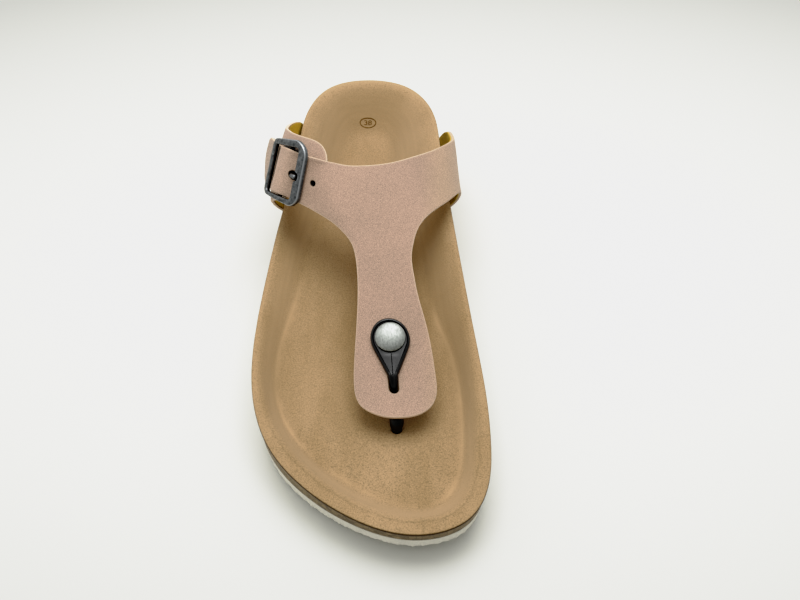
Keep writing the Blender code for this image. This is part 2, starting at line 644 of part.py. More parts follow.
def toe_post_node():
    outer, bore = teardrop(0.0, 22), ring((0.0, RIVET_AT), RIVET_SHANK + GAP, 12)
    crest, inner = teardrop(-0.7, 22), teardrop(-1.5, 22)
    crease = [(0.0, along) for along in (181.5, 184.0, 186.5)]
    flat, faces = triangulate(outer, [bore], [crest, inner, ring((0.0, RIVET_AT), 5.0, 12), crease])
    spots = flat / (WRAP, 1)
    raised = np.full(len(flat), PAD - 0.35)
    raised[within(inner * 0.999 + np.array([0, RIVET_AT]) * 0.001, flat)] = PAD + PAD_FLOOR
    apart = np.linalg.norm(flat[:, None] - crest[None], axis=2).min(axis=1)
    raised[apart < 0.05] = PAD + PAD_BEAD
    top, low = pulled(spots, raised + GAP), pulled(spots, np.full(len(flat), GAP))
    pad = node("toe_post", stack(faces, [top, low]))
    start = pulled(np.array([(0.0, 186.5), (0.0, 189.5), (0.0, 192.2)]), [1.0, 0.2, -2.4])
    run = path(np.vstack([start, POST_RUN])[:, [1, 2, 0]], 16)[:, [2, 0, 1]]
    cut(pad, tube_mesh(run, np.interp(np.linspace(0, 1, 16), *POST_RADII.T)), "post", "UNION")


def rivet_node():
    centre, out = last(0.0, RIVET_AT)[0], last_normal(0.0, RIVET_AT)[0]
    mesh = bpy.data.meshes.new("mesh")
    points = [(radius * MM, 0.0, height * MM) for radius, height in RIVET_PROFILE]
    mesh.from_pydata(points, [(i, i + 1) for i in range(len(points) - 1)], [])
    rivet = node("rivet", mesh)
    axis = Vector((out[0], -out[1], out[2]))
    turned = axis.to_track_quat("Z", "Y").to_matrix().to_4x4()
    rivet.matrix_world = Matrix.Translation(Vector(placed(centre[None])[0])) @ turned
    screw = rivet.modifiers.new("turned", "SCREW")
    screw.steps = screw.render_steps = 28
    screw.use_merge_vertices, screw.merge_threshold = True, 0.00001
    screw.use_normal_calculate = True


def post_bore():
    """The hole in the footbed that takes the foot of the post."""
    return tube_mesh([(*POST_AT, 24.0), (*POST_AT, 4.0)], [POST_BORE] * 2, 14)


def settle():
    """Moves the whole sandal so that the origin lies under the middle of its box."""
    bpy.context.view_layer.update()
    graph = bpy.context.evaluated_depsgraph_get()
    low, high = np.full(3, np.inf), np.full(3, -np.inf)
    for made in PARTS.objects:
        shown = made.evaluated_get(graph)
        corners = np.array([shown.matrix_world @ v.co for v in shown.to_mesh().vertices])
        low, high = np.minimum(low, corners.min(axis=0)), np.maximum(high, corners.max(axis=0))
        shown.to_mesh_clear()
    shift = Vector((-(low[0] + high[0]) / 2, -(low[1] + high[1]) / 2, -low[2]))
    for made in [*PARTS.objects, *CUTTERS.objects]:
        made.matrix_world = Matrix.Translation(shift) @ made.matrix_world


for old in list(bpy.data.objects):
    bpy.data.objects.remove(old)
PARTS = bpy.data.collections.new("toe_post_sandal")
CUTTERS = bpy.data.collections.new("cutters")
bpy.context.scene.collection.children.link(PARTS)
bpy.context.scene.collection.children.link(CUTTERS)

cover, cork = sole_nodes()
strap_nodes()
cut(cork, pocket(REAR_EDGE[:6], MEDIAL_EDGE[-4:]), "pocket_medial")
cut(cork, pocket(ANCHOR_REAR[:6], ANCHOR_FRONT[-4:]), "pocket_lateral")
buckle_nodes()
toe_post_node()
rivet_node()
for bored in (cover, cork):
    cut(bored, post_bore(), f"bore_{bored.name}")
settle()
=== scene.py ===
"""Looks of a right toe post sandal: its pieces at full detail, their finishes, and the stage under it.

The shapes are worked out in millimetres: along the foot from the back of the heel, across it with the
big-toe side positive, and up from the ground. They are the shapes of the part's own solids, with finer
steps and finished edges.
"""

import math

import bmesh
import bpy
import numpy as np
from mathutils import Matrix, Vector
from mathutils.geometry import delaunay_2d_cdt


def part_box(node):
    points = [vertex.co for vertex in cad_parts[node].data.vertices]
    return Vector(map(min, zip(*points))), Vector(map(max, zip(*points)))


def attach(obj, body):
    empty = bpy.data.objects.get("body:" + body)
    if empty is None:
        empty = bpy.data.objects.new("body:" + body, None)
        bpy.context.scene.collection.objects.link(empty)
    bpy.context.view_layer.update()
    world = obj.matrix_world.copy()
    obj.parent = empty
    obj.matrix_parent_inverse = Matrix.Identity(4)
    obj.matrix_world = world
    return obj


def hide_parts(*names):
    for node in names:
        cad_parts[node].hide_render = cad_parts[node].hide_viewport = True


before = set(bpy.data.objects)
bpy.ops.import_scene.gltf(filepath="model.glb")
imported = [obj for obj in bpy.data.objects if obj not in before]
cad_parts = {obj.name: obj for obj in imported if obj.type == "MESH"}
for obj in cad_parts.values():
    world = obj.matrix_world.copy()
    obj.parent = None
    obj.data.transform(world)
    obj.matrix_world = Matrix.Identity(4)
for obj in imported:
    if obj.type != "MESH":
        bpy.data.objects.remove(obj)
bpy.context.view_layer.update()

bl_info = {
    "name": "Toe post sandal",
    "version": (1, 0, 0),
    "blender": (4, 5, 0),
    "location": "View3D > Sidebar > Sandal",
    "description": "Builds a cork and foam toe post sandal with its finishes, floor, light and camera",
    "category": "Add Mesh",
}

MM = 0.001
LENGTH = 258.0
GAP = 0.3

RIM_LIP, TOE_LIP = 2.6, 5.6
TOE_LIP_FROM, TOE_LIP_AT = 165.0, 245.0
# share of the wall that falls in an even slope to the line at its foot, and share of the slope in a fillet
CRISP_WALL, WALL_FILLET = 0.6, 0.22
TOE_SPRING = 6.0
SPRING_START = 186.0
HEEL_LIFT = 1.5
HEEL_ROUND = 14.0
CORK_INSET = 1.5
SOLE_INSET = 3.2
# how far from the edge an inset has eased to nothing
INSET_EASE = 24.0
# the tread's waves: their height, and their length for each radian
TREAD_WAVE, TREAD_WAVE_LENGTH = 2.4, 7.0
# how far to each side the tread's rows are drawn, and the spacing of points on them
TREAD_HALF, TREAD_STEP = 60.0, 1.8
# half a groove and its flank, as shares of the pitch, and the shares at which rows of points lie
GROOVE_HALF, GROOVE_FLANK = 0.16, 0.08
TREAD_ROWS = (0.0, 0.34, 0.42, 0.58, 0.66)
# shares of the height at which the sides of the foam and of the cork have a ring of points
FOAM_RINGS = (0.03, 0.2, 0.45, 0.7, 0.9)
CORK_RINGS = (0.02, 0.3, 0.65, 0.98)
# rings of points on the footbed: shares of the lip, distances from its inner line, shares of the wall
LIP_RINGS, LIP_LINE_RINGS = (0.3, 0.6), (-0.5, 0.0, 0.5)
WALL_RINGS = (0.16, 0.3, 0.5, 0.7, 0.85, 1.0)
# how far in these rings go at most, and the spacing of points inside them
RINGS_REACH, FOOTBED_STEP = 15.5, 2.4
# where marks of wear begin along the footbed and where the painted highlight at the wall's foot begins, and
# over what distance they come in
TOE_WEAR, HEEL_WEAR, WALL_LINE = (188.0, 34.0), (26.0, 18.0), (110.0, 40.0)
# half widths of the painted highlight line at the wall's foot and of the painted shade in the fold at the lip
WALL_LINE_HALF, FOLD_HALF = 1.1, 0.6

STRAP = 2.0
STRAP_TUCK = 24.0
TUCK_SHARPNESS = 0.75
STRAP_FOOT = 11.6
LEAN = 0.51
TWIST = 0.28
TWIST_DIRECTION = np.array([-0.70, 0.20, 0.68])
# degrees and place along of the line that the twist turns about, the line's slope, and the reach of the twist
TWIST_ANGLE, TWIST_ALONG, TWIST_SLOPE, TWIST_REACH = -51.75, 99.0, 0.3, 14.0
# millimetres for a degree round the instep
WRAP = np.radians(44.0)
# spacing of points along the straps' edges and over them, and the first ring's distance from the edge
STRAP_EDGE_STEP, STRAP_STEP, STRAP_RING = 1.6, 1.9, 1.2
# gap between leather and lining
PLY_GAP = 0.02
HOLE_POINTS = 24
# where the painted yellower light on the medial arm begins and over what distance, and the share of the raw
# cut lost there
ARM_FROM, ARM_OVER, ARM_CUT = 22.0, 14.0, 0.7

BUCKLE_AT = (-50.2, 98.0)
BUCKLE_SWEEP = 0.41
FRAME_LOW, FRAME_THICK = 3.2, 2.2
FRAME_ARCH = 0.010
BAR_RADIUS = 0.9
BAR_ENDS = (-13.1, 12.1)
BAR_STEPS, PIN_STEPS = 60, 48
BESIDE_BAR, OVER_BAR = 1.2, 4.7
HUMP_REACH, HUMP_SLOPE = 8.2, 5.4
PIN_REST, PIN_REST_END, PIN_REST_LEVEL = 2.0, 13.2, 2.6
PIN_HOLE = 1.9
PUNCH = 1.1
# painted shade, near black, under the buckle: reach from its middle to the ridge, to the tail, to the toe and
# to the heel, and fade
FRAME_SHADE = ((7.4, 2.4), (14.0, 3.0), (12.6, 1.2), (12.9, 2.2))
# painted shade, near black, round a hole: reach from the hole's middle, and fade
HOLE_SHADE = (5.0, 2.0)
# painted light on the leather in the buckle, against the frame's shadow: reach to the ridge and to the sides,
# and fade; and where the painted sheen on the tail begins
PAINTED_LIGHT_RIDGE, PAINTED_LIGHT_SIDE, PAINTED_LIGHT_FADE = 12.5, 14.0, 2.0
SHEEN_FROM, SHEEN_FADE = -9.5, 1.5

RIVET_AT = 173.8
RIVET_SHANK = 2.0
TEARDROP_AT = 174.2
TEARDROP_RADIUS = 8.3
TEARDROP_TANGENT = 25.0
FACETS = (180.4, 189.0)
PAD = 1.7
# spacing of points along the pad's edge and over it, and the rings of points on its bead
PAD_EDGE_STEP, PAD_STEP = 0.4, 0.5
BEAD_RINGS = (0.15, 0.35, 0.65, 1.0, 1.3, 1.5)
BEAD_RADIUS = 0.9
# the facets' half width at both ends, how deep they lie under the bead and how far they rise to the crease
FACET_HALF, FACET_SUNK, FACET_RISE = (4.6, 0.9), 0.40, 0.12
CREASE_HALF, CREASE_DEPTH, CREASE_POINTS = 0.16, 0.22, 34
POST_STEPS, POST_SIDES, RIVET_SIDES = 70, 28, 72
POST_AT = (14.1, 204.6)
POST_HOLE = 2.15
SLOT = (187.6, 196.2, 2.0)
MARK_AT = (-1.0, 20.0)
MARK_RISE = 0.12
MARK_POINTS = 72
MARK_LINE = 0.55
# squash of the ring's outer and inner line, height of the number, and how much wider than high it is drawn
MARK_SQUASH = (0.50, 0.45)
NUMBER_HEIGHT, NUMBER_STRETCH = 2.6, 1.6

# along, lateral and medial edge, lateral and medial rim height, lateral and medial wall width, and how far
# from the lip the wall's foot shows as a line on the lateral and the medial side
SECTIONS = np.array([
    (0.0, 0.0, 0.0, 39.0, 39.0, 24.0, 24.0, 24.0, 24.0),
    (6.0, -20.3, 19.6, 39.0, 39.0, 24.0, 24.0, 24.0, 24.0),
    (22.0, -30.3, 30.8, 38.5, 39.0, 23.0, 24.0, 23.0, 24.0),
    (50.0, -34.6, 35.0, 36.5, 40.0, 20.0, 26.0, 20.0, 26.0),
    (75.0, -37.3, 36.9, 34.5, 41.5, 17.0, 29.0, 17.0, 22.0),
    (100.0, -41.0, 39.2, 32.5, 41.5, 15.0, 30.0, 14.0, 15.0),
    (130.0, -44.8, 43.0, 29.5, 36.5, 14.0, 25.0, 12.5, 14.5),
    (165.0, -48.0, 48.2, 25.5, 28.0, 13.0, 15.0, 8.0, 8.4),
    (195.0, -46.4, 52.0, 22.3, 23.2, 12.0, 11.0, 7.0, 7.0),
    (218.0, -38.2, 52.8, 20.4, 20.8, 10.5, 10.0, 8.5, 7.0),
    (236.0, -23.6, 50.8, 19.6, 19.8, 9.5, 9.5, 9.5, 8.0),
    (250.0, -4.6, 43.5, 19.4, 19.4, 9.0, 9.0, 10.5, 10.0),
    (258.0, 24.0, 24.0, 19.3, 19.3, 9.0, 9.0, 10.5, 10.5),
])

# along, height of the footbed's floor, thickness of the outsole
FLOORS = np.array([
    (0.0, 25.0, 12.0),
    (45.0, 22.5, 11.6),
    (75.0, 23.5, 11.6),
    (100.0, 26.0, 10.6),
    (130.0, 24.0, 9.6),
    (165.0, 18.0, 8.6),
    (195.0, 14.8, 7.9),
    (220.0, 14.2, 7.2),
    (258.0, 15.0, 6.4),
])

# along the instep, middle of the strap across, half its span, ridge height, depth to the widest level
RIDGE = np.array([
    (40.0, 1.6, 35.5, 87.0, 44.0),
    (75.0, 1.2, 41.3, 77.0, 36.0),
    (100.0, -0.6, 45.0, 68.5, 31.0),
    (120.0, 3.2, 44.8, 61.0, 27.0),
    (146.0, 8.1, 44.6, 50.0, 20.0),
    (172.0, 11.2, 44.6, 38.0, 15.0),
    (190.0, 12.6, 44.6, 30.6, 12.5),
    (206.0, 14.1, 44.6, 25.6, 11.5),
    (216.0, 15.0, 44.6, 23.4, 11.5),
])

# degrees round the instep from its ridge with the medial side positive, and place along the instep
REAR_EDGE = (
    (174, 61), (150, 58), (130, 57), (115, 57.8), (104, 60), (95, 63.2), (85.5, 69), (73, 75.5), (60, 81.2),
    (43.2, 88.5), (28.5, 93.9), (16.5, 97.5), (3.5, 99.4), (-7.3, 99.5), (-18.6, 98.4), (-23.4, 97.9),
    (-29.4, 96.2), (-35.8, 93.4), (-41.4, 91), (-48.5, 88.2), (-55.8, 85.2),
)
TAIL_END = (
    (-62, 81.7), (-65, 80.2), (-68, 82.4), (-71.8, 87.4), (-74.4, 92.4), (-76.6, 96.6), (-76.2, 99),
)
LATERAL_EDGE = (
    (-73.8, 100), (-70, 101.9), (-63.4, 103.7), (-59.2, 105.5), (-55.5, 107.4), (-51.5, 110.2),
    (-45.2, 113.3), (-38.8, 116.6), (-32.6, 120), (-27, 123.3), (-23.2, 126.1), (-20, 129), (-17.4, 131.8),
    (-15.8, 134.2), (-14.5, 139.8), (-14.7, 145.9), (-15.7, 153.6), (-18.2, 165), (-21.5, 178.8),
    (-23.5, 190.3), (-23.4, 195.5), (-20.4, 200.8), (-13.7, 204.2), (-7.2, 206),
)
MEDIAL_EDGE = (
    (1.1, 206.5), (7.8, 206), (14.8, 204.2), (20.4, 200.8), (23.6, 195.5), (23.9, 189), (22.7, 177.4),
    (20.2, 165), (17.8, 154.8), (17.3, 148.4), (17.5, 140.6), (20.4, 133.7), (24.2, 128.1), (30.7, 122.6),
    (40.4, 117.3), (54.2, 111.3), (78, 102.6), (100, 100.5), (130, 100.5), (174, 101),
)
ANCHOR_REAR = (
    (-174, 60), (-150, 57.5), (-130, 55), (-115, 53.6), (-102, 54.7), (-90, 58), (-75, 66.8), (-65.2, 72.6),
    (-59.2, 75.2), (-51.4, 78.6), (-44.6, 81.2), (-38, 83.6), (-33, 85.2), (-25.8, 88.2),
)
ANCHOR_TIP = ((-22, 92.2), (-21, 98), (-23.5, 103), (-30, 107))
ANCHOR_FRONT = ((-42, 108.5), (-60, 107.5), (-80, 105.5), (-100, 104), (-130, 103), (-174, 102.5))

# degrees and millimetres along from the buckle's middle, radius of the hole
HOLES = ((20.2, 8.8, PUNCH), (7.7, 3.3, PIN_HOLE), (-7.8, -3.0, PUNCH))
# corners of the buckle's frame and its window: towards the ridge, towards the toe, radius
FRAME_OUTER = np.array([(16.1, 13.6, 5.0), (-9.9, 12.9, 4.4), (-11.7, -12.8, 3.4), (14.0, -17.1, 7.5)])
FRAME_WINDOW = np.array([(11.2, 10.7, 1.3), (-6.9, 11.1, 1.3), (-8.4, -10.5, 1.3), (9.6, -12.7, 1.3)])
# towards the ridge and outwards: the bends of the pin
PIN_BENDS = ((1.5, 1.0), (4.8, 0.62), (6.6, 0.85), (7.4, 2.1), (8.0, 3.3), (9.2, 3.95), (12.3, 3.95))
# share of the pin's length and its radius there
PIN_RADII = np.array([
    (0.0, 0.55), (0.5, 0.55), (0.74, 0.95), (0.9, 1.05), (0.95, 0.98), (0.985, 0.66), (1.0, 0.28),
])

# how far in from the cut edge, share of the layer's depth, and how much of the raw cut shows
LEATHER_EDGE = (
    (0.50, 0.0, 0.1), (0.22, 0.05, 0.7), (0.06, 0.18, 1.0),
    (0.0, 0.38, 1.0), (0.0, 0.92, 1.0), (0.08, 1.0, 1.0),
)
LINING_EDGE = ((0.10, 0.0, 1.0), (0.0, 0.15, 1.0), (0.0, 0.55, 1.0), (0.12, 0.9, 0.6), (0.40, 1.0, 0.0))
SUEDE_EDGE = (
    (0.4, 0.0, 0.0), (0.16, 0.05, 0.2), (0.04, 0.16, 0.8),
    (0.0, 0.3, 1.0), (0.02, 0.85, 1.0), (0.2, 1.0, 1.0),
)

# size of a bump on the foam's trimmed edge, its length along the edge, and how much the lengths vary
CRUMBS = ((0.13, 4.9, 2.0), (0.15, 1.9, 3.1), (0.08, 8.3, 1.0))

# share across the buckle's bar from its outer side, and share of its thickness
FRAME_SECTION = (
    (0.0, 0.30), (0.025, 0.60), (0.09, 0.84), (0.2, 0.95), (0.32, 0.99), (0.44, 1.0), (0.56, 1.0),
    (0.68, 0.985), (0.8, 0.95), (0.9, 0.86), (0.97, 0.66), (1.0, 0.38), (1.0, 0.12), (0.93, 0.0),
    (0.07, 0.0), (0.0, 0.12),
)

# radius of the rivet and height on the strap
RIVET_PROFILE = (
    (0.5, 4.16), (1.4, 4.12), (2.6, 4.0), (3.8, 3.78), (4.8, 3.5), (5.6, 3.16), (6.1, 2.86), (6.36, 2.6),
    (6.42, 2.4), (6.3, 2.2), (RIVET_SHANK, 2.2), (RIVET_SHANK, -STRAP - GAP), (4.2, -STRAP - GAP),
    (4.25, -2.6), (4.1, -2.9), (3.6, -3.1), (0.6, -3.15),
)

# place along the strap, height on it, half width and half thickness of the post's tongue
TONGUE = ((188.2, 0.7, 1.5, 0.4), (190.2, 0.0, 1.8, 0.9), (192.6, -2.6, 1.8, 1.3))
# across, along, up, half width and half thickness of the post below the strap
POST_RUN = (
    (13.8, 198.2, 20.6, 2.4, 1.9), (14.1, 202.2, 19.2, 2.95, 2.3), (14.1, 204.2, 17.4, 2.9, 2.4),
    (*POST_AT, 15.6, 2.35, 2.2), (*POST_AT, 14.0, 1.95, 1.95), (*POST_AT, 9.9, 1.9, 1.9),
)
# half width of the teardrop's tail and place along the strap
TAIL = ((2.1, 189.2), (1.85, 191.2), (1.7, 192.7), (1.2, 194.1))
TAIL_TIP = 194.5
TAIL_DROP = 2.6


def linear(code):
    """An sRGB hex colour as linear red, green, blue and alpha."""
    parts = [int(code[i : i + 2], 16) / 255 for i in (1, 3, 5)]
    return (*(c / 12.92 if c <= 0.04045 else ((c + 0.055) / 1.055) ** 2.4 for c in parts), 1.0)


# painted shade, near black, under the buckle and in the holes
SHADE_COLOUR = linear("#140C06")


class SandalSizes(bpy.types.PropertyGroup):
    """Sizes of the pieces that a user would change."""

    lining: bpy.props.FloatProperty(
        name="Lining", description="Thickness of the lining under the strap's leather",
        default=0.6 * MM, min=0.2 * MM, max=1.0 * MM, unit="LENGTH", precision=4)
    cover: bpy.props.FloatProperty(
        name="Cover", description="Thickness of the suede on the footbed",
        default=1.5 * MM, min=0.8 * MM, max=2.0 * MM, unit="LENGTH", precision=4)
    lip: bpy.props.FloatProperty(
        name="Lip", description="Width of the level lip round the footbed",
        default=2.6 * MM, min=1.0 * MM, max=6.0 * MM, unit="LENGTH", precision=4)
    tread: bpy.props.FloatProperty(
        name="Tread", description="Depth of the grooves under the outsole",
        default=1.1 * MM, min=0.0, max=2.0 * MM, unit="LENGTH", precision=4)
    tread_pitch: bpy.props.FloatProperty(
        name="Tread pitch", description="Distance from groove to groove",
        default=7.0 * MM, min=4.0 * MM, max=15.0 * MM, unit="LENGTH", precision=4)
    mark_width: bpy.props.FloatProperty(
        name="Size mark", description="Width of the ring round the size number",
        default=8.6 * MM, min=5.0 * MM, max=15.0 * MM, unit="LENGTH", precision=4)
    size_number: bpy.props.IntProperty(
        name="Size number", description="The number printed in the ring", default=38, min=16, max=50)


class SandalColours(bpy.types.PropertyGroup):
    """Colours of the finishes that a user would change."""

    nubuck: bpy.props.FloatVectorProperty(
        name="Nubuck", description="Strap leather",
        default=linear("#A18978"), size=4, min=0, max=1, subtype="COLOR")
    raw_cut: bpy.props.FloatVectorProperty(
        name="Raw cut", description="Cut edge of the strap leather",
        default=linear("#D3BBA3"), size=4, min=0, max=1, subtype="COLOR")
    lining: bpy.props.FloatVectorProperty(
        name="Lining", description="Lining of the straps",
        default=linear("#CCAA4C"), size=4, min=0, max=1, subtype="COLOR")
    suede: bpy.props.FloatVectorProperty(
        name="Suede", description="Cover of the footbed",
        default=linear("#9A8160"), size=4, min=0, max=1, subtype="COLOR")
    cork: bpy.props.FloatVectorProperty(
        name="Cork", description="Edge of the cork footbed",
        default=linear("#7C6B50"), size=4, min=0, max=1, subtype="COLOR")
    foam: bpy.props.FloatVectorProperty(
        name="Foam", description="Outsole",
        default=linear("#DAD6CA"), size=4, min=0, max=1, subtype="COLOR")
    plating: bpy.props.FloatVectorProperty(
        name="Plating", description="Buckle",
        default=linear("#66686A"), size=4, min=0, max=1, subtype="COLOR")
    post: bpy.props.FloatVectorProperty(
        name="Post", description="Toe post",
        default=linear("#0B0B0C"), size=4, min=0, max=1, subtype="COLOR")
    rivet: bpy.props.FloatVectorProperty(
        name="Rivet", description="Rivet cap",
        default=linear("#9FA29E"), size=4, min=0, max=1, subtype="COLOR")
    floor: bpy.props.FloatVectorProperty(
        name="Floor", description="Floor of the stage",
        default=linear("#E5E5DF"), size=4, min=0, max=1, subtype="COLOR")


def smooth(t):
    """A soft step from 0 to 1."""
    t = np.clip(t, 0.0, 1.0)
    return t * t * (3 - 2 * t)


def spline(knots, rows, at, closed=False):
    """A cubic curve through the rows, with a smooth second derivative, read at the given places."""
    knots, rows, at = (np.asarray(v, float) for v in (knots, rows, at))
    count, step = len(knots), np.diff(knots)
    slope = np.diff(rows, axis=0) / step[:, None]
    left, right = np.zeros((count, count)), np.zeros_like(rows)
    for i in range(1, count - 1):
        left[i, i - 1 : i + 2] = step[i], 2 * (step[i - 1] + step[i]), step[i - 1]
        right[i] = 3 * (step[i] * slope[i - 1] + step[i - 1] * slope[i])
    if closed:
        left[0, 0], left[0, -1] = 1, -1
        left[-1, 0], left[-1, 1], left[-1, -2], left[-1, -1] = 2 * step[-1], step[-1], step[0], 2 * step[0]
        right[-1] = 3 * (step[-1] * slope[0] + step[0] * slope[-1])
    else:
        left[0, :2], right[0] = (2, 1), 3 * slope[0]
        left[-1, -2:], right[-1] = (1, 2), 3 * slope[-1]
    tangent = np.linalg.solve(left, right)
    i = np.clip(np.searchsorted(knots, at, side="right") - 1, 0, count - 2)
    h = step[i][:, None]
    t = (at - knots[i])[:, None] / h
    ends = (1 + 2 * t) * (1 - t) ** 2 * rows[i] + t * t * (3 - 2 * t) * rows[i + 1]
    return ends + h * (t * (1 - t) ** 2 * tangent[i] + t * t * (t - 1) * tangent[i + 1])


def path(points, count, closed=False, measured=2):
    """A smooth curve through the points, at even steps of its length over the first few columns."""
    points = np.asarray(points, float)
    if closed:
        points = np.vstack([points, points[:1]])
    knots = np.append(0, np.cumsum(np.linalg.norm(np.diff(points[:, :measured], axis=0), axis=1)))
    fine = spline(knots, points, np.linspace(0, knots[-1], 4000), closed)
    length = np.append(0, np.cumsum(np.linalg.norm(np.diff(fine[:, :measured], axis=0), axis=1)))
    at = np.linspace(0, length[-1], count + 1 if closed else count)
    even = np.stack([np.interp(at, length, column) for column in fine.T], 1)
    return even[:-1] if closed else even


def outline(count):
    """The footbed's edge from the heel by the lateral side, with rim height, wall width and wall foot."""
    lateral, medial = SECTIONS[:, [1, 0, 3, 5, 7]], SECTIONS[:, [2, 0, 4, 6, 8]]
    return path(np.vstack([lateral, medial[-2:0:-1]]), count, closed=True)


def into_material(loop, stretch=1.0, hole=False):
    """Steps of a millimetre from a closed loop's points into the material beside it, in the loop's units."""
    flat = loop * (stretch, 1)
    run = np.roll(flat, -1, axis=0) - np.roll(flat, 1, axis=0)
    run /= np.linalg.norm(run, axis=1)[:, None]
    area = (flat[:, 0] * np.roll(flat[:, 1], -1) - np.roll(flat[:, 0], -1) * flat[:, 1]).sum()
    side = np.sign(area) * (-1 if hole else 1)
    return np.stack([-run[:, 1], run[:, 0]], 1) * side / (stretch, 1)


EDGE = outline(900)
EDGE_INTO = into_material(EDGE[:, :2])
EDGE_STEP = np.linalg.norm(EDGE[1, :2] - EDGE[0, :2])
SOLID_EDGE = outline(84)
COVER_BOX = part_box("footbed_cover")
SHIFT = np.array([
    COVER_BOX[0].x / MM - SOLID_EDGE[:, 0].min(),
    COVER_BOX[1].y / MM - LENGTH / 2 + SOLID_EDGE[:, 1].min(),
    0.0,
])


def edge_at(points):
    """How far inside the footbed's edge each point lies, and which point of the edge is nearest."""
    apart = np.linalg.norm(points[:, None, :2] - EDGE[None, :, :2], axis=2)
    return apart.min(axis=1), apart.argmin(axis=1)


def ground(along):
    """The underside of the outsole, which springs up at the toe and is eased at the heel."""
    toe = TOE_SPRING * np.clip((along - SPRING_START) / (LENGTH - SPRING_START), 0, None) ** 1.7
    heel = HEEL_LIFT * np.clip((HEEL_ROUND - along) / HEEL_ROUND, 0, None) ** 2
    return toe + heel


def parting(along):
    """The height at which the cork meets the outsole."""
    return ground(along) + spline(FLOORS[:, 0], FLOORS[:, 2:], along)[:, 0]


def lip_width(along, lip):
    """The level lip round the footbed, which widens at the toe."""
    return lip + (TOE_LIP - RIM_LIP) * smooth((along - TOE_LIP_FROM) / (TOE_LIP_AT - TOE_LIP_FROM))


def ramp(t):
    """An even slope from 0 to 1 with a fillet at each end."""
    t, w = np.clip(t, 0.0, 1.0), WALL_FILLET
    even_slope = np.clip((t - w / 2) / (1 - w), 0, 1)
    low, high = t * t / (2 * w * (1 - w)), 1 - (1 - t) ** 2 / (2 * w * (1 - w))
    return np.where(t < w, low, np.where(t > 1 - w, high, even_slope))


def wall_share(points, lip):
    """How far up the wall of the footbed each point lies, from its floor to its lip."""
    inside, near = edge_at(points)
    wall, foot = EDGE[near, 3:].T
    inside = inside - lip_width(EDGE[near, 1], lip)
    return 1 - CRISP_WALL * ramp(inside / foot) - (1 - CRISP_WALL) * smooth(inside / wall)


def foot_height(points, lip):
    """The height of the footbed's top at each point."""
    near = edge_at(points)[1]
    floor = spline(FLOORS[:, 0], FLOORS[:, 1:2], points[:, 1])[:, 0]
    return floor + (EDGE[near, 2] - floor) * wall_share(points, lip)


def twist(angle, along):
    """How far the lateral arm turns out at its rear and in at its front, where the buckle pulls on it."""
    middle = TWIST_ALONG + TWIST_SLOPE * (angle - TWIST_ANGLE)
    # in from 12 to 38 degrees off the ridge, and out again from 66 to 90
    reach = smooth((-angle - 12) / 26) * smooth((angle + 90) / 24)
    return -TWIST * reach * TWIST_REACH * np.tanh((along - middle) / TWIST_REACH)


def last(angle, along):
    """Points of the form that the straps are pulled over, from degrees round it and places along it."""
    angle, along = np.atleast_1d(np.asarray(angle, float)), np.atleast_1d(np.asarray(along, float))
    middle, span, ridge, depth = spline(RIDGE[:, 0], RIDGE[:, 1:], along).T
    side, fall = np.sin(np.radians(np.abs(angle))), np.cos(np.radians(angle))
    wide = ridge - depth
    over = np.abs(angle) <= 90
    tucked = STRAP_TUCK + (span - STRAP_TUCK) * np.clip(side, 0, None) ** TUCK_SHARPNESS
    across = middle + np.sign(angle) * np.where(over, span * side, tucked)
    height = np.where(over, ridge - depth * (1 - fall), wide + (wide - STRAP_FOOT) * fall)
    points = np.stack([across, along - LEAN * (ridge - height), height], 1)
    return points + twist(angle, along)[:, None] * TWIST_DIRECTION


def last_normal(angle, along):
    """Directions straight out of that form."""
    angle, along = np.atleast_1d(np.asarray(angle, float)), np.atleast_1d(np.asarray(along, float))
    turn = last(angle + 0.05, along) - last(angle - 0.05, along)
    run = last(angle, along + 0.05) - last(angle, along - 0.05)
    normal = np.cross(turn, run)
    return normal / np.linalg.norm(normal, axis=1)[:, None]


def buckle_axes():
    """The buckle's middle on the anchor strap, and its directions: to the ridge, to the toe and outwards."""
    angle, along = BUCKLE_AT
    step = np.array([-4.0, 4.0])
    ends = last(angle + step, along + BUCKLE_SWEEP * step)
    middle, out = last(angle, along)[0], last_normal(angle, along)[0]
    to_ridge = ends[1] - ends[0]
    to_ridge -= out * (to_ridge @ out)
    to_ridge /= np.linalg.norm(to_ridge)
    return middle, to_ridge, np.cross(out, to_ridge), out


BUCKLE = buckle_axes()


def in_buckle(points):
    """Points in the buckle's own directions, as places in the shared frame."""
    middle, to_ridge, to_toe, out = BUCKLE
    points = np.asarray(points, float)
    return middle + points[:, :1] * to_ridge + points[:, 1:2] * to_toe + points[:, 2:] * out


def strap_lift(angle, along):
    """How far the T-strap stands off the form: on the anchor strap, and level through the buckle."""
    middle, to_ridge, to_toe, out = BUCKLE
    lift = (STRAP + GAP + 0.1) * smooth((-angle - 8) / 14) * smooth((138 - along) / 18)
    normal = last_normal(angle, along)
    reach = last(angle, along) + normal * lift[:, None] - middle
    from_bar, aside = reach @ to_ridge, reach @ to_toe
    beyond = np.abs(from_bar) - HUMP_REACH
    level = BESIDE_BAR + (OVER_BAR - BESIDE_BAR) * smooth(-beyond / HUMP_SLOPE)
    level -= 0.14 * np.clip(beyond - 1, 0, None)
    held = smooth((20 - from_bar) / 8) * smooth((16 - np.abs(aside)) / 4) * (angle < 0)
    return lift + held * (level - reach @ out) / np.clip(normal @ out, 0.5, 1)


def pulled(points, off):
    """Points given as degrees round the form and places along it, stood off by the given distance."""
    angle, along = points.T
    return last(angle, along) + last_normal(angle, along) * np.reshape(off, (-1, 1))


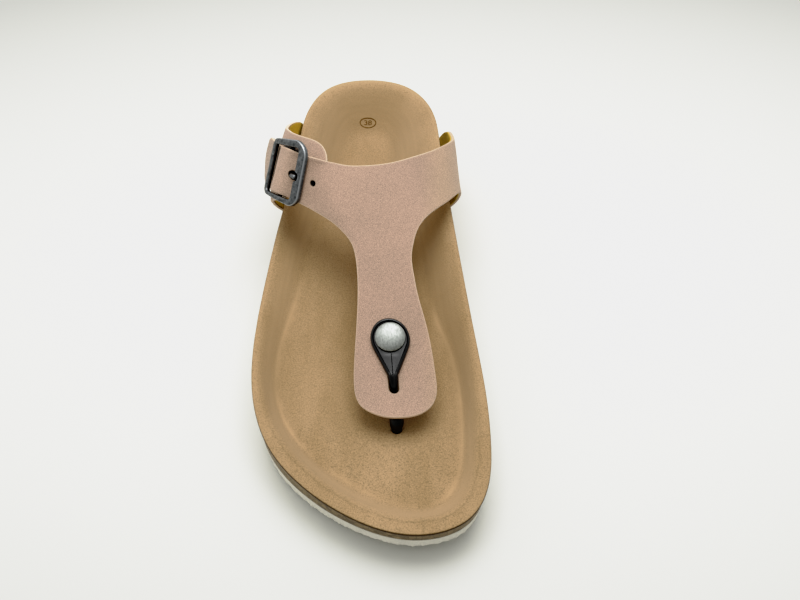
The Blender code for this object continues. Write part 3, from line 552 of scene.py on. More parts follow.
def within(loop, points):
    """Whether each point lies inside the closed loop."""
    ax, ay = loop[:, 0], loop[:, 1]
    bx, by = np.roll(ax, -1), np.roll(ay, -1)
    px, py = points[:, :1], points[:, 1:2]
    rise = np.where(by == ay, 1e-12, by - ay)
    crossed = ((ay > py) != (by > py)) & (px < (bx - ax) * (py - ay) / rise + ax)
    return crossed.sum(axis=1) % 2 == 1


def triangulate(loops, inner):
    """Triangles with the inner points over the flat region inside the first loop and outside the others."""
    points, edges, first = np.vstack([*loops, *inner]), [], 0
    for loop in loops:
        edges += [(first + i, first + (i + 1) % len(loop)) for i in range(len(loop))]
        first += len(loop)
    found = delaunay_2d_cdt([Vector(p) for p in points], edges, [], 1, 1e-5)
    flat, faces = np.array([p[:] for p in found[0]]), np.array(found[2])
    centre = flat[faces].mean(axis=1)
    keep = within(loops[0], centre)
    for hole in loops[1:]:
        keep &= ~within(hole, centre)
    return flat, faces[keep]


def inside(loops, points, clear, stretch=1.0):
    """Those points that lie in the region of the loops, at least the clear distance from their edges."""
    points = points[within(loops[0], points)]
    for hole in loops[1:]:
        points = points[~within(hole, points)]
    for loop in loops:
        apart = np.linalg.norm((points[:, None] - loop[None]) * (stretch, 1), axis=2).min(axis=1)
        points = points[apart > clear]
    return points


def grid(loop, spacing, stretch=1.0):
    """An even grid of points, every second row moved by half a step, over the box of a loop."""
    low, high = loop.min(axis=0), loop.max(axis=0)
    columns, rows = np.arange(low[0], high[0], spacing / stretch), np.arange(low[1], high[1], spacing * 0.87)
    across, along = np.meshgrid(columns, rows)
    across = across + (np.arange(len(rows)) % 2)[:, None] * spacing / stretch / 2
    return np.stack([across, along], 2).reshape(-1, 2)


def rim_steps(flat, loops, stretch=1.0):
    """Steps of a millimetre into the material from points on the loops, and which of them lie on holes."""
    steps, on_hole = np.zeros_like(flat), np.zeros(len(flat), bool)
    for level, loop in enumerate(loops):
        found, at = np.nonzero(np.abs(flat[:, None] - loop[None]).max(axis=2) < 1e-4)
        steps[found] = into_material(loop, stretch, hole=level > 0)[at]
        on_hole[found] = level > 0
    return steps, on_hole


def placed(points):
    """Millimetres across, along and up, as metres in the object's frame."""
    points = np.asarray(points, float)
    return (np.stack([points[:, 0], LENGTH / 2 - points[:, 1], points[:, 2]], 1) + SHIFT) * MM


def mesh_of(points, faces, crease=50.0, **shares):
    """A smooth mesh with its normals outwards, sharp where it turns by more than the crease angle."""
    mesh = bpy.data.meshes.new("mesh")
    mesh.from_pydata(placed(points).tolist(), [], [[int(i) for i in face] for face in faces])
    for name, values in shares.items():
        kind, field = ("FLOAT", "value") if values.ndim == 1 else ("FLOAT_VECTOR", "vector")
        mesh.attributes.new(name, kind, "POINT").data.foreach_set(field, values.astype(np.float32).ravel())
    shape = bmesh.new()
    shape.from_mesh(mesh)
    bmesh.ops.recalc_face_normals(shape, faces=shape.faces)
    shape.to_mesh(mesh)
    shape.free()
    mesh.shade_smooth()
    mesh.set_sharp_from_angle(angle=math.radians(crease))
    return mesh


def skin(faces, layers, marks, crease=50.0, **shares):
    """A closed mesh with the first layer on top, the last below and walls round the edges.

    Each layer has a mark for its raw cut, or one for each point. Each share has values for every layer.
    """
    sides = np.concatenate([faces[:, [0, 1]], faces[:, [1, 2]], faces[:, [2, 0]]]).tolist()
    known = set(map(tuple, sides))
    rim = np.array(sorted(side for side in known if side[::-1] not in known))
    points, cut, tables, kept = [], [], [], {name: [] for name in shares}
    for level, (layer, mark) in enumerate(zip(layers, marks)):
        used = np.unique(faces) if level in (0, len(layers) - 1) else np.unique(rim)
        table = np.full(len(layer), -1)
        table[used] = sum(map(len, points)) + np.arange(len(used))
        tables.append(table)
        points.append(layer[used])
        cut.append(np.where(np.isin(used, rim), np.broadcast_to(mark, len(layer))[used], 0.0))
        for name in shares:
            kept[name].append(shares[name][level][used])
    made = [*tables[0][faces], *tables[-1][faces[:, ::-1]]]
    for upper, lower in zip(tables, tables[1:]):
        made += list(np.stack([upper[rim[:, 1]], upper[rim[:, 0]], lower[rim[:, 0]], lower[rim[:, 1]]], 1))
    whole = {name: np.concatenate(values) for name, values in kept.items()}
    return mesh_of(np.vstack(points), made, crease, cut_edge=np.concatenate(cut), **whole)


def lofted(rings, joined=False, crease=50.0, **shares):
    """A mesh through closed rings of equal counts, joined end to end or closed by a point at each end."""
    count, sides = len(rings), len(rings[0])
    i = np.arange(sides)
    points, made = np.vstack(rings), []
    for near in range(count if joined else count - 1):
        a, b = near * sides, (near + 1) % count * sides
        made += list(np.stack([a + i, a + (i + 1) % sides, b + (i + 1) % sides, b + i], 1))
    if not joined:
        points = np.vstack([points, rings[0].mean(axis=0), rings[-1].mean(axis=0)])
        for first, tip in ((0, count * sides), ((count - 1) * sides, count * sides + 1)):
            made += list(np.stack([first + i, first + (i + 1) % sides, np.full(sides, tip)], 1))
    return mesh_of(points, made, crease, **shares)


def swept(points, widths, heights, guide, sides=24):
    """Closed rings along a run of points, with a half width along the guide's direction and a half height."""
    run = np.gradient(points, axis=0)
    run /= np.linalg.norm(run, axis=1)[:, None]
    wide = guide - run * (run @ guide)[:, None]
    wide /= np.linalg.norm(wide, axis=1)[:, None]
    high = np.cross(run, wide)
    turn = np.linspace(0, 2 * np.pi, sides, endpoint=False)
    return [
        p + w * np.outer(np.cos(turn), u) + h * np.outer(np.sin(turn), v)
        for p, u, v, w, h in zip(points, wide, high, widths, heights)
    ]


def ring(centre, radius, count, stretch=1.0, squash=1.0):
    """A closed round loop, narrowed across by the stretch and flattened along by the squash."""
    turn = np.linspace(0, 2 * np.pi, count, endpoint=False)
    across, along = radius * np.cos(turn) / stretch, squash * radius * np.sin(turn)
    return np.stack([centre[0] + across, centre[1] + along], 1)


def drawn_in(flat, inset, height):
    """Points at the given heights, moved inwards by the inset at the edge and by less towards the middle."""
    apart, near = edge_at(flat)
    ease = np.clip(1 - apart / INSET_EASE, 0, 1)
    return np.column_stack([flat + EDGE_INTO[near] * (inset * ease)[:, None], height])


def fill(node, inputs):
    """Gives inputs of a node, by name or place, their values, or links them from sockets."""
    for key, value in inputs.items():
        if isinstance(value, bpy.types.NodeSocket):
            node.id_data.links.new(value, node.inputs[key])
        else:
            node.inputs[key].default_value = value


def put(tree, kind, *inputs, out=None, **named):
    """Adds a node with its settings and links, and returns its first output in use, or the one that is named.

    Inputs are given in the order that the node shows them, or by name. Small-letter names are its settings.
    """
    node = tree.nodes.new("ShaderNode" + kind)
    for name, value in named.items():
        if name.islower():
            setattr(node, name, value)
    shown = (key for key, socket in enumerate(node.inputs) if socket.enabled)
    fill(node, dict(zip(shown, inputs)))
    fill(node, {name: value for name, value in named.items() if not name.islower()})
    return node.outputs[out] if out else next(socket for socket in node.outputs if socket.enabled)


def per_metre(size):
    """A pattern's scale from the size of its grain in millimetres."""
    return 1 / (size * MM)


def shade(colour, share):
    """A colour made darker or lighter by a share."""
    return (*(min(1.0, c * share) for c in colour[:3]), 1.0)


def blank(name):
    """A new material with its node tree and its shader."""
    made = bpy.data.materials.new(name)
    made.use_nodes = True
    return made, made.node_tree, made.node_tree.nodes["Principled BSDF"]


def brushed_nubuck(colours):
    # Nubuck: leather with its grain side sanded. The eye gets a matt, faintly fuzzy face with a fine pepper
    # of lighter and darker fibre ends, soft clouds where the nap lies, painted light that makes it paler
    # inside the buckle's frame against the frame's shadow, a painted yellower light on the medial arm, a
    # painted grey sheen on the tail past the buckle, a paler line where the edge is cut, and painted shade,
    # near black, under the buckle and in the holes.
    made, tree, shader = blank("nubuck_sanded_leather")
    nubuck = colours.nubuck
    where = put(tree, "TexCoord", out="Object")
    cut, soil, pale, tail, arm = (
        put(tree, "Attribute", attribute_name=name, out="Fac")
        for name in ("cut_edge", "hidden_soil", "rub_and_painted_light", "painted_sheen", "medial_painted_light")
    )
    # Fibre ends are about 0.2 mm; drawn at 0.28 mm so that they show. Clouds are about 22 mm across.
    grain = put(tree, "TexNoise", where, Scale=per_metre(0.28), Detail=1.0, Roughness=0.6)
    cloud = put(tree, "TexNoise", where, Scale=per_metre(22.0), Detail=2.0)
    pepper = put(tree, "MapRange", grain, 0.34, 0.66)
    drift = put(tree, "MapRange", cloud, 0.35, 0.65)
    fibre = put(tree, "Mix", pepper, shade(nubuck, 0.64), shade(nubuck, 1.33), data_type="RGBA")
    dusted = put(tree, "Mix", drift, (0.95, 0.95, 0.95, 1), (1.03, 1.02, 1.02, 1), data_type="RGBA")
    body = put(tree, "Mix", 1.0, fibre, dusted, data_type="RGBA", blend_type="MULTIPLY")
    # painted light: paler inside the buckle's frame, against its shadow
    rub_and_painted_light = put(tree, "Mix", pale, (1, 1, 1, 1), (1.15, 1.18, 1.19, 1), data_type="RGBA")
    # painted grey sheen on the tail, as at a grazing angle
    painted_sheen = put(tree, "Mix", tail, rub_and_painted_light, (1.06, 1.18, 1.24, 1), data_type="RGBA")
    # painted yellower light on the medial arm
    medial_lit = put(tree, "Mix", arm, painted_sheen, (1.12, 1.14, 1.05, 1), data_type="RGBA")
    paled = put(tree, "Mix", 1.0, body, medial_lit, data_type="RGBA", blend_type="MULTIPLY")
    edged = put(tree, "Mix", cut, paled, colours.raw_cut, data_type="RGBA")
    # painted shade, near black, under the buckle's frame and in the holes
    dirt_and_painted_shade = put(tree, "Mix", soil, edged, SHADE_COLOUR, data_type="RGBA")
    nap = put(tree, "Bump", Height=grain, Strength=0.35, Distance=0.15 * MM)
    fill(shader, {
        "Base Color": dirt_and_painted_shade, "Normal": nap, "Roughness": 0.88, "IOR": 1.45, "Specular IOR Level": 0.25,
        "Sheen Weight": 0.12, "Sheen Roughness": 0.5,
    })
    return made


def split_lining(colours):
    # Split leather dyed through: the eye gets a deep mustard with a soft mottle, no shine and a brown cut.
    made, tree, shader = blank("dyed_split_leather")
    dye = colours.lining
    where = put(tree, "TexCoord", out="Object")
    cut, soil = (
        put(tree, "Attribute", attribute_name=name, out="Fac")
        for name in ("cut_edge", "hidden_soil")
    )
    # Split fibres are about 0.3 mm; drawn at 0.8 mm so that they show.
    fibre = put(tree, "TexNoise", where, Scale=per_metre(0.8), Detail=4.0, Roughness=0.6)
    mottle = put(tree, "MapRange", fibre, 0.3, 0.7)
    dyed = put(tree, "Mix", mottle, shade(dye, 0.82), shade(dye, 1.14), data_type="RGBA")
    edged = put(tree, "Mix", cut, dyed, linear("#6E5640"), data_type="RGBA")
    # painted shade, near black, on the walls of the holes
    dirt_and_painted_shade = put(tree, "Mix", soil, edged, SHADE_COLOUR, data_type="RGBA")
    nap = put(tree, "Bump", Height=fibre, Strength=0.3, Distance=0.2 * MM)
    fill(shader, {
        "Base Color": dirt_and_painted_shade, "Normal": nap, "Roughness": 0.9, "IOR": 1.45, "Specular IOR Level": 0.2,
    })
    return made


def footbed_suede(colours):
    # Suede pressed over cork: the eye gets a dull tan nap with broad smears where it was pushed, a fine dark
    # pepper that is strongest under the toes and on the lip, a few bright fibre ends under the toes, a smooth
    # wall with drag lines along it and a painted highlight along its foot, a paler rubbed lip, painted shade
    # in a dark wavy crease where the lip meets the wall at the toe, and a burnt line at the trimmed edge.
    made, tree, shader = blank("pressed_suede")
    suede = colours.suede
    where = put(tree, "TexCoord", out="Object")
    cut, rise, toe, lip, fold, wall_foot_highlight = (
        put(tree, "Attribute", attribute_name=name, out="Fac")
        for name in ("cut_edge", "rise", "toe", "lip", "fold", "wall_foot_highlight")
    )
    round_edge = put(tree, "Attribute", attribute_name="edge_run", out="Vector")
    stretched = put(tree, "Mapping", where, Scale=(1.0, 0.45, 1.0))
    # Drag lines are 2 mm apart and 40 mm long; the attribute is in millimetres from the edge and along it.
    dragged = put(tree, "Mapping", round_edge, Scale=(1 / 2.0, 1 / 40.0, 1.0))
    # Nap fibres are about 0.25 mm; drawn at 0.5 mm so that they show. Smears are about 16 mm across.
    nap = put(tree, "TexNoise", where, Scale=per_metre(0.5), Detail=2.0, Roughness=0.6)
    smear = put(tree, "TexNoise", stretched, Scale=per_metre(16.0), Detail=3.0, Distortion=0.6)
    drag = put(tree, "TexNoise", dragged, Scale=1.0, Detail=2.0)
    # Pits are about 0.4 mm; drawn at 0.7 mm so that they show.
    pits = put(tree, "TexNoise", where, Scale=per_metre(0.7), Detail=1.0)
    # Bright fibre ends are about 11 mm apart.
    sparks = put(tree, "TexVoronoi", where, Scale=per_metre(11.0), Randomness=1.0)
    pepper = put(tree, "MapRange", nap, 0.33, 0.67)
    drift = put(tree, "MapRange", smear, 0.32, 0.68)
    lines = put(tree, "MapRange", drag, 0.32, 0.68)
    fibre = put(tree, "Mix", pepper, shade(suede, 0.78), shade(suede, 1.13), data_type="RGBA")
    pushed = put(tree, "Mix", drift, (0.86, 0.84, 0.80, 1), (1.05, 1.05, 1.06, 1), data_type="RGBA")
    body = put(tree, "Mix", 1.0, fibre, pushed, data_type="RGBA", blend_type="MULTIPLY")
    pitted = put(tree, "MapRange", pits, 0.56, 0.68, 0.0, 0.55)
    worn = put(tree, "Math", toe, lip, operation="MAXIMUM")
    spread = put(tree, "MapRange", worn, 0.0, 1.0, 0.4, 1.0)
    pocked = put(tree, "Math", pitted, spread, operation="MULTIPLY")
    dark = put(tree, "Mix", pocked, body, shade(suede, 0.45), data_type="RGBA")
    # The wall is a little darker than the floor of the footbed.
    tone = put(tree, "Mix", toe, shade(suede, 0.94), shade(suede, 0.93), data_type="RGBA")
    rub_and_painted_light = put(tree, "Mix", lines, (0.95, 0.95, 0.95, 1), (1.06, 1.06, 1.06, 1), data_type="RGBA")
    dragged_wall = put(tree, "Mix", 1.0, tone, rub_and_painted_light, data_type="RGBA", blend_type="MULTIPLY")
    smoothed = put(tree, "MapRange", rise, 0.0, 1.0, 0.0, 0.85)
    wall = put(tree, "Mix", smoothed, dark, dragged_wall, data_type="RGBA")
    paler = put(tree, "Math", lip, pepper, operation="MULTIPLY")
    lipped = put(tree, "Mix", paler, wall, shade(suede, 1.18), data_type="RGBA")
    bright = put(tree, "MapRange", sparks, 0.02, 0.04, 0.6, 0.0)
    sparkle = put(tree, "Math", bright, toe, operation="MULTIPLY")
    lit = put(tree, "Mix", sparkle, lipped, shade(suede, 1.7), data_type="RGBA")
    # painted highlight along the wall's foot, broken up by the smears
    along_foot = put(tree, "Math", wall_foot_highlight, drift, operation="MULTIPLY")
    foot_highlighted = put(tree, "Mix", along_foot, lit, shade(suede, 1.22), data_type="RGBA")
    # painted shade in the crease at the toe
    folded = put(tree, "MapRange", fold, 0.2, 0.9, 0.0, 0.3)
    crease_shaded = put(tree, "Mix", folded, foot_highlighted, shade(suede, 0.42), data_type="RGBA")
    burnt = put(tree, "Mix", pepper, linear("#241503"), linear("#4E3A16"), data_type="RGBA")
    edged = put(tree, "Mix", cut, crease_shaded, burnt, data_type="RGBA")
    fuzz = put(tree, "Bump", Height=nap, Strength=0.4, Distance=0.2 * MM)
    fill(shader, {
        "Base Color": edged, "Normal": fuzz, "Roughness": 0.92, "IOR": 1.45, "Specular IOR Level": 0.2,
        "Sheen Weight": 0.1, "Sheen Roughness": 0.6,
    })
    return made


def pressed_cork(colours):
    # Cork granules pressed with latex, sanded and sealed: the eye gets grey-brown granules of several tones
    # with dark seams, and a faint gloss from the sealing coat.
    made, tree, shader = blank("pressed_sealed_cork")
    cork = colours.cork
    where = put(tree, "TexCoord", out="Object")
    # Granules are about 2.4 mm across, with 0.6 mm crumb in them.
    granule = {"Scale": per_metre(2.4), "Randomness": 1.0}
    colour = put(tree, "TexVoronoi", where, out="Color", **granule)
    seam = put(tree, "TexVoronoi", where, feature="DISTANCE_TO_EDGE", **granule)
    crumb = put(tree, "TexNoise", where, Scale=per_metre(0.6), Detail=3.0)
    tone = put(tree, "SeparateColor", colour)
    grains = put(tree, "Mix", tone, shade(cork, 0.62), shade(cork, 1.2), data_type="RGBA")
    gap = put(tree, "MapRange", seam, 0.0, 0.09, 0.7, 0.0)
    body = put(tree, "Mix", gap, grains, shade(cork, 0.3), data_type="RGBA")
    speck = put(tree, "MapRange", crumb, 0.35, 0.65, 0.82, 1.12)
    rough = put(tree, "Mix", 1.0, body, speck, data_type="RGBA", blend_type="MULTIPLY")
    relief = put(tree, "Bump", Height=seam, Strength=0.5, Distance=0.4 * MM)
    fill(shader, {
        "Base Color": rough, "Normal": relief, "Roughness": 0.7, "IOR": 1.45,
        "Coat Weight": 0.1, "Coat Roughness": 0.4,
    })
    return made


def moulded_foam(colours):
    # EVA foam, moulded and trimmed: the eye gets a chalky white with a fine open-cell grain, and greyish dirt
    # from handling.
    made, tree, shader = blank("moulded_eva_foam")
    where = put(tree, "TexCoord", out="Object")
    # Cut cells are about 0.3 mm; drawn at 0.9 mm so that they show. Patches of dirt are about 9 mm across.
    cells = put(tree, "TexNoise", where, Scale=per_metre(0.9), Detail=4.0, Roughness=0.6)
    dirt = put(tree, "TexNoise", where, Scale=per_metre(9.0), Detail=3.0)
    chalk = put(tree, "MapRange", cells, 0.3, 0.7)
    handled = put(tree, "MapRange", dirt, 0.5, 0.75, 0.0, 0.35)
    body = put(tree, "Mix", chalk, shade(colours.foam, 0.9), shade(colours.foam, 1.06), data_type="RGBA")
    dirt_and_painted_shade = put(tree, "Mix", handled, body, linear("#B4B2A8"), data_type="RGBA")
    open_cells = put(tree, "Bump", Height=cells, Strength=0.5, Distance=0.3 * MM)
    fill(shader, {
        "Base Color": dirt_and_painted_shade, "Normal": open_cells, "Roughness": 0.8, "IOR": 1.48, "Specular IOR Level": 0.3,
    })
    return made


def antiqued_zinc(colours):
    # Zinc casting, plated dark and tumbled: the eye gets a blue-grey metal with cloudy blotches, a half-dull
    # shine, bright rubbed edges with a painted highlight along the frame's outer rim, and painted shade, near
    # black, on the frame's inner walls, in the pin's rest and all over the centre bar.
    made, tree, shader = blank("antiqued_zinc_casting")
    plating = colours.plating
    where = put(tree, "TexCoord", out="Object")
    corner = put(tree, "NewGeometry", out="Pointiness")
    rim, shelter = (
        put(tree, "Attribute", attribute_name=name, out="Fac")
        for name in ("worn_rim", "shelter")
    )
    # Blotches are about 1.6 mm across.
    blotch = put(tree, "TexNoise", where, Scale=per_metre(1.6), Detail=5.0, Roughness=0.65)
    cloudy = put(tree, "MapRange", blotch, 0.33, 0.67)
    plated = put(tree, "Mix", cloudy, shade(plating, 0.5), shade(plating, 1.35), data_type="RGBA")
    bright = put(tree, "MapRange", corner, 0.52, 0.6, 0.0, 0.6)
    # bright rubbed edges, and a painted highlight along the outer rim
    edges = put(tree, "Math", bright, rim, operation="MAXIMUM")
    worn = put(tree, "Mix", edges, plated, shade(plating, 3.4), data_type="RGBA")
    # painted shade, near black, on the inner walls, the pin's rest and the centre bar
    shaded_recesses = put(tree, "Mix", shelter, worn, linear("#08080A"), data_type="RGBA")
    dull = put(tree, "MapRange", blotch, 0.3, 0.7, 0.55, 0.36)
    cast = put(tree, "Bump", Height=blotch, Strength=0.25, Distance=0.15 * MM)
    fill(shader, {"Base Color": shaded_recesses, "Roughness": dull, "Normal": cast, "Metallic": 1.0})
    return made


def gloss_nylon(colours):
    # Nylon moulded in a polished tool: the eye gets deep black with slightly wavy highlights, dulled by wear.
    made, tree, shader = blank("moulded_gloss_nylon")
    where = put(tree, "TexCoord", out="Object")
    # Flow waves are about 2.5 mm long.
    wave = put(tree, "TexNoise", where, Scale=per_metre(2.5), Detail=2.0)
    rub_and_painted_light = put(tree, "MapRange", wave, 0.3, 0.7, 0.28, 0.42)
    tint = put(tree, "Mix", wave, shade(colours.post, 0.8), shade(colours.post, 1.3), data_type="RGBA")
    flow = put(tree, "Bump", Height=wave, Strength=0.1, Distance=0.2 * MM)
    fill(shader, {
        "Base Color": tint, "Roughness": rub_and_painted_light, "Normal": flow, "IOR": 1.53, "Specular IOR Level": 0.4,
    })
    return made


def tumbled_nickel(colours):
    # Nickel-plated steel cap, pressed and tumbled: the eye gets a soft silver with a fine mottle and a broad
    # highlight.
    made, tree, shader = blank("tumbled_nickel_plate")
    where = put(tree, "TexCoord", out="Object")
    drawn_out = put(tree, "Mapping", where, Rotation=(0.0, 0.0, 0.7), Scale=(1.0, 0.4, 1.0))
    # Tumbling marks are about 0.3 mm; drawn at 0.7 mm so that they show.
    mottle = put(tree, "TexNoise", drawn_out, Scale=per_metre(0.7), Detail=5.0, Roughness=0.7)
    cloudy = put(tree, "MapRange", mottle, 0.33, 0.67)
    plate = put(tree, "Mix", cloudy, shade(colours.rivet, 0.66), shade(colours.rivet, 1.16), data_type="RGBA")
    dull = put(tree, "MapRange", mottle, 0.3, 0.7, 0.56, 0.44)
    tumbled = put(tree, "Bump", Height=mottle, Strength=0.25, Distance=0.12 * MM)
    fill(shader, {"Base Color": plate, "Roughness": dull, "Normal": tumbled, "Metallic": 1.0})
    return made


def printed_ink():
    # Solvent ink pad-printed on suede: the eye gets a brown that sinks into the nap and breaks up a little.
    made, tree, shader = blank("pad_printed_ink")
    where = put(tree, "TexCoord", out="Object")
    # The ink breaks up with the nap, at about 0.5 mm.
    sunk = put(tree, "TexNoise", where, Scale=per_metre(0.5), Detail=3.0)
    patchy = put(tree, "MapRange", sunk, 0.35, 0.7)
    ink = put(tree, "Mix", patchy, linear("#4A3214"), linear("#7D5F38"), data_type="RGBA")
    fill(shader, {"Base Color": ink, "Roughness": 0.85, "Specular IOR Level": 0.2})
    return made


def seamless_paper(colours):
    # Seamless studio paper: the eye gets a pale matt floor, with painted shade that darkens it a little away
    # from the middle, where the light falls off.
    made, tree, shader = blank("seamless_paper")
    where = put(tree, "TexCoord", out="Object")
    # The painted fall-off is an oval about the sandal, in metres.
    oval = put(tree, "Mapping", where, Location=(-0.021, -0.033, 0.0), Scale=(1.5, 2.75, 1.0))
    away = put(tree, "VectorMath", oval, operation="LENGTH")
    far = put(tree, "Math", away, 2.0, operation="POWER")
    dim = put(tree, "MapRange", far, 0.0, 0.58)
    paper = put(tree, "Mix", dim, colours.floor, shade(colours.floor, 0.56), data_type="RGBA")
    fill(shader, {"Base Color": paper, "Roughness": 0.9, "Specular IOR Level": 0.1})
    return made


def add_piece(name, mesh, finish, slot=None, *nodes):
    """A piece of the sandal on its one body, which stands for CAD nodes and hides them. The slot is not used.
    """
    made = bpy.data.objects.new(name, mesh)
    mesh.materials.append(finish)
    bpy.context.scene.collection.objects.link(made)
    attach(made, "root")
    if nodes:
        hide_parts(*nodes)
    return made


class SANDAL_OT_outsole(bpy.types.Operator):
    """Adds the foam outsole with its trimmed, slightly ragged side and the grooves of its tread"""

    bl_idname = "sandal.outsole"
    bl_label = "Outsole"

    def execute(self, context):
        sizes, colours = context.scene.sandal_sizes, context.scene.sandal_colours
        pitch, depth = sizes.tread_pitch / MM, sizes.tread / MM
        edge = outline(1000)[:, :2]
        across = np.arange(-TREAD_HALF, TREAD_HALF, TREAD_STEP)
        bend = TREAD_WAVE * np.sin(across / TREAD_WAVE_LENGTH)
        rows = [
            np.stack([across, groove * pitch + share * pitch - bend], 1)
            for groove in range(-1, int(LENGTH / pitch) + 2)
            for share in TREAD_ROWS
        ]
        flat, faces = triangulate([edge], [inside([edge], np.vstack(rows), TREAD_STEP / 2)])
        steps = rim_steps(flat, [edge])[0]
        phase = (flat[:, 1] + TREAD_WAVE * np.sin(flat[:, 0] / TREAD_WAVE_LENGTH)) / pitch % 1.0
        groove = smooth((GROOVE_HALF - np.abs(phase - 0.5)) / GROOVE_FLANK)
        low, meet = ground(flat[:, 1]), parting(flat[:, 1]) - GAP / 2
        run = edge_at(flat)[1] * EDGE_STEP
        ragged = sum(
            size * np.sin(2 * np.pi * run / length + vary * np.sin(run / 9))
            for size, length, vary in CRUMBS
        )
        # the side draws in as it falls and gets more ragged, down to a rounded lower edge
        layers = [drawn_in(flat, CORK_INSET + 0.15, meet)]
        for share in FOAM_RINGS:
            inset = CORK_INSET + (SOLE_INSET - 0.8 - CORK_INSET) * share
            rough = steps * (ragged * share * 0.7)[:, None]
            layers.append(drawn_in(flat + rough, inset, meet + (low + 0.7 + 0.5 * ragged - meet) * share))
        trimmed = low + 0.35 + 0.3 * ragged + depth * 0.6 * groove
        layers.append(drawn_in(flat + steps * ragged[:, None], SOLE_INSET - 0.5, trimmed))
        layers.append(drawn_in(flat + steps * 0.3, SOLE_INSET, low + depth * groove))
        mesh = skin(faces, layers, [0.0] * len(layers), 40.0)
        add_piece("outsole_foam", mesh, moulded_foam(colours), "outsole_foam", "outsole")
        return {"FINISHED"}


def footbed_net(spacing, lip):
    """Triangles over the footbed, close together at its lip and wall, with the hole for the post."""
    edge = outline(430)
    into, lips = into_material(edge[:, :2]), lip_width(edge[:, 1], lip)
    hole = ring(POST_AT, POST_HOLE, 28)
    insets = [lips * share for share in LIP_RINGS] + [lips + step for step in LIP_LINE_RINGS]
    insets += [np.minimum(lips + edge[:, 4] * share, RINGS_REACH) for share in WALL_RINGS]
    edge = edge[:, :2]
    rings = [edge + into * inset[:, None] for inset in insets]
    core = inside([rings[-1], hole], grid(edge, spacing), spacing / 2)
    flat, faces = triangulate([edge, hole], [*rings, core])
    return flat, faces, rim_steps(flat, [edge, hole])[0]


class SANDAL_OT_footbed(bpy.types.Operator):
    """Adds the cork footbed, the suede cover on it, and the size mark printed in the heel"""

    bl_idname = "sandal.footbed"
    bl_label = "Footbed and cover"

    def execute(self, context):
        sizes, colours = context.scene.sandal_sizes, context.scene.sandal_colours
        cover, lip = sizes.cover / MM, sizes.lip / MM
        flat, faces, steps = footbed_net(FOOTBED_STEP, lip)
        top = foot_height(flat, lip)
        under = top - cover - GAP / 3
        meet = parting(flat[:, 1]) + GAP / 3
        layers = [drawn_in(flat, 0.5, under)]
        for share in CORK_RINGS:
            layers.append(drawn_in(flat, 0.2 + (CORK_INSET - 0.2) * share, under + (meet - under) * share))
        layers.append(drawn_in(flat, CORK_INSET + 0.1, meet))
        mesh = skin(faces, layers, [0.0] * len(layers))
        add_piece("cork_footbed", mesh, pressed_cork(colours), "cork", "footbed")

        share = wall_share(flat, lip)
        inset, near = edge_at(flat)
        run, lips = near * EDGE_STEP, lip_width(EDGE[near, 1], lip)
        toe = smooth((flat[:, 1] - TOE_WEAR[0]) / TOE_WEAR[1])
        heel = smooth((HEEL_WEAR[0] - EDGE[near, 1]) / HEEL_WEAR[1])
        front = smooth((flat[:, 1] - WALL_LINE[0]) / WALL_LINE[1])
        wave = 0.2 * np.sin(run / 3.1) + 0.12 * np.sin(run / 1.3 + np.sin(run / 5))
        foot = np.clip(1 - np.abs(inset - lips - EDGE[near, 4]) / WALL_LINE_HALF, 0, 1)
        shares = {
            "rise": 4 * share * (1 - share),
            "toe": toe,
            "lip": smooth((lips - inset) / 1.2) * (1 - 0.6 * toe) + heel * smooth((7 - inset) / 3),
            # painted shade along the crease at the toe, and a painted highlight along the wall's foot
            "fold": toe * np.clip(1 - np.abs(inset - lips - wave) / FOLD_HALF, 0, 1),
            "wall_foot_highlight": foot * front,
            "edge_run": np.column_stack([inset, run, np.zeros(len(flat))]),
        }
        layers = [drawn_in(flat + steps * step, 0.0, top - cover * depth) for step, depth, _ in SUEDE_EDGE]
        levels = {name: [values] * len(layers) for name, values in shares.items()}
        mesh = skin(faces, layers, [mark for _, _, mark in SUEDE_EDGE], **levels)
        add_piece("suede_cover", mesh, footbed_suede(colours), "footbed_suede", "footbed_cover")

        ink = printed_ink()
        radius = sizes.mark_width / MM / 2
        outer, inner = (
            ring(MARK_AT, size, MARK_POINTS, squash=squash)
            for size, squash in zip((radius, radius - MARK_LINE), MARK_SQUASH)
        )
        spots = np.vstack([outer, inner])
        here = np.arange(MARK_POINTS)
        after = (here + 1) % MARK_POINTS
        faces = np.stack([here, after, MARK_POINTS + after, MARK_POINTS + here], 1)
        ring_mesh = mesh_of(np.column_stack([spots, foot_height(spots, lip) + MARK_RISE]), faces)
        add_piece("size_mark_ring", ring_mesh, ink)
        text = bpy.data.curves.new("size_number", "FONT")
        text.body, text.size, text.offset = str(sizes.size_number), NUMBER_HEIGHT, 0.04
        text.align_x = text.align_y = "CENTER"
        carrier = bpy.data.objects.new("size_number", text)
        context.scene.collection.objects.link(carrier)
        flat_text = bpy.data.meshes.new_from_object(carrier)
        bpy.data.objects.remove(carrier)
        spots = np.array([
            (MARK_AT[0] + v.co.x * NUMBER_STRETCH, MARK_AT[1] - v.co.y)
            for v in flat_text.vertices
        ])
        faces = [list(face.vertices) for face in flat_text.polygons]
        bpy.data.meshes.remove(flat_text)
        number = mesh_of(np.column_stack([spots, foot_height(spots, lip) + MARK_RISE]), faces)
        add_piece("size_mark_number", number, ink)
        return {"FINISHED"}


def even(points, spacing, ends=True):
    """A smooth run through table points, sampled about every spacing millimetres."""
    run = np.array(points, float) * (WRAP, 1)
    count = max(3, int(np.linalg.norm(np.diff(run, axis=0), axis=1).sum() / spacing) + 1)
    found = path(run, count) / (WRAP, 1)
    return found if ends else found[1:-1]


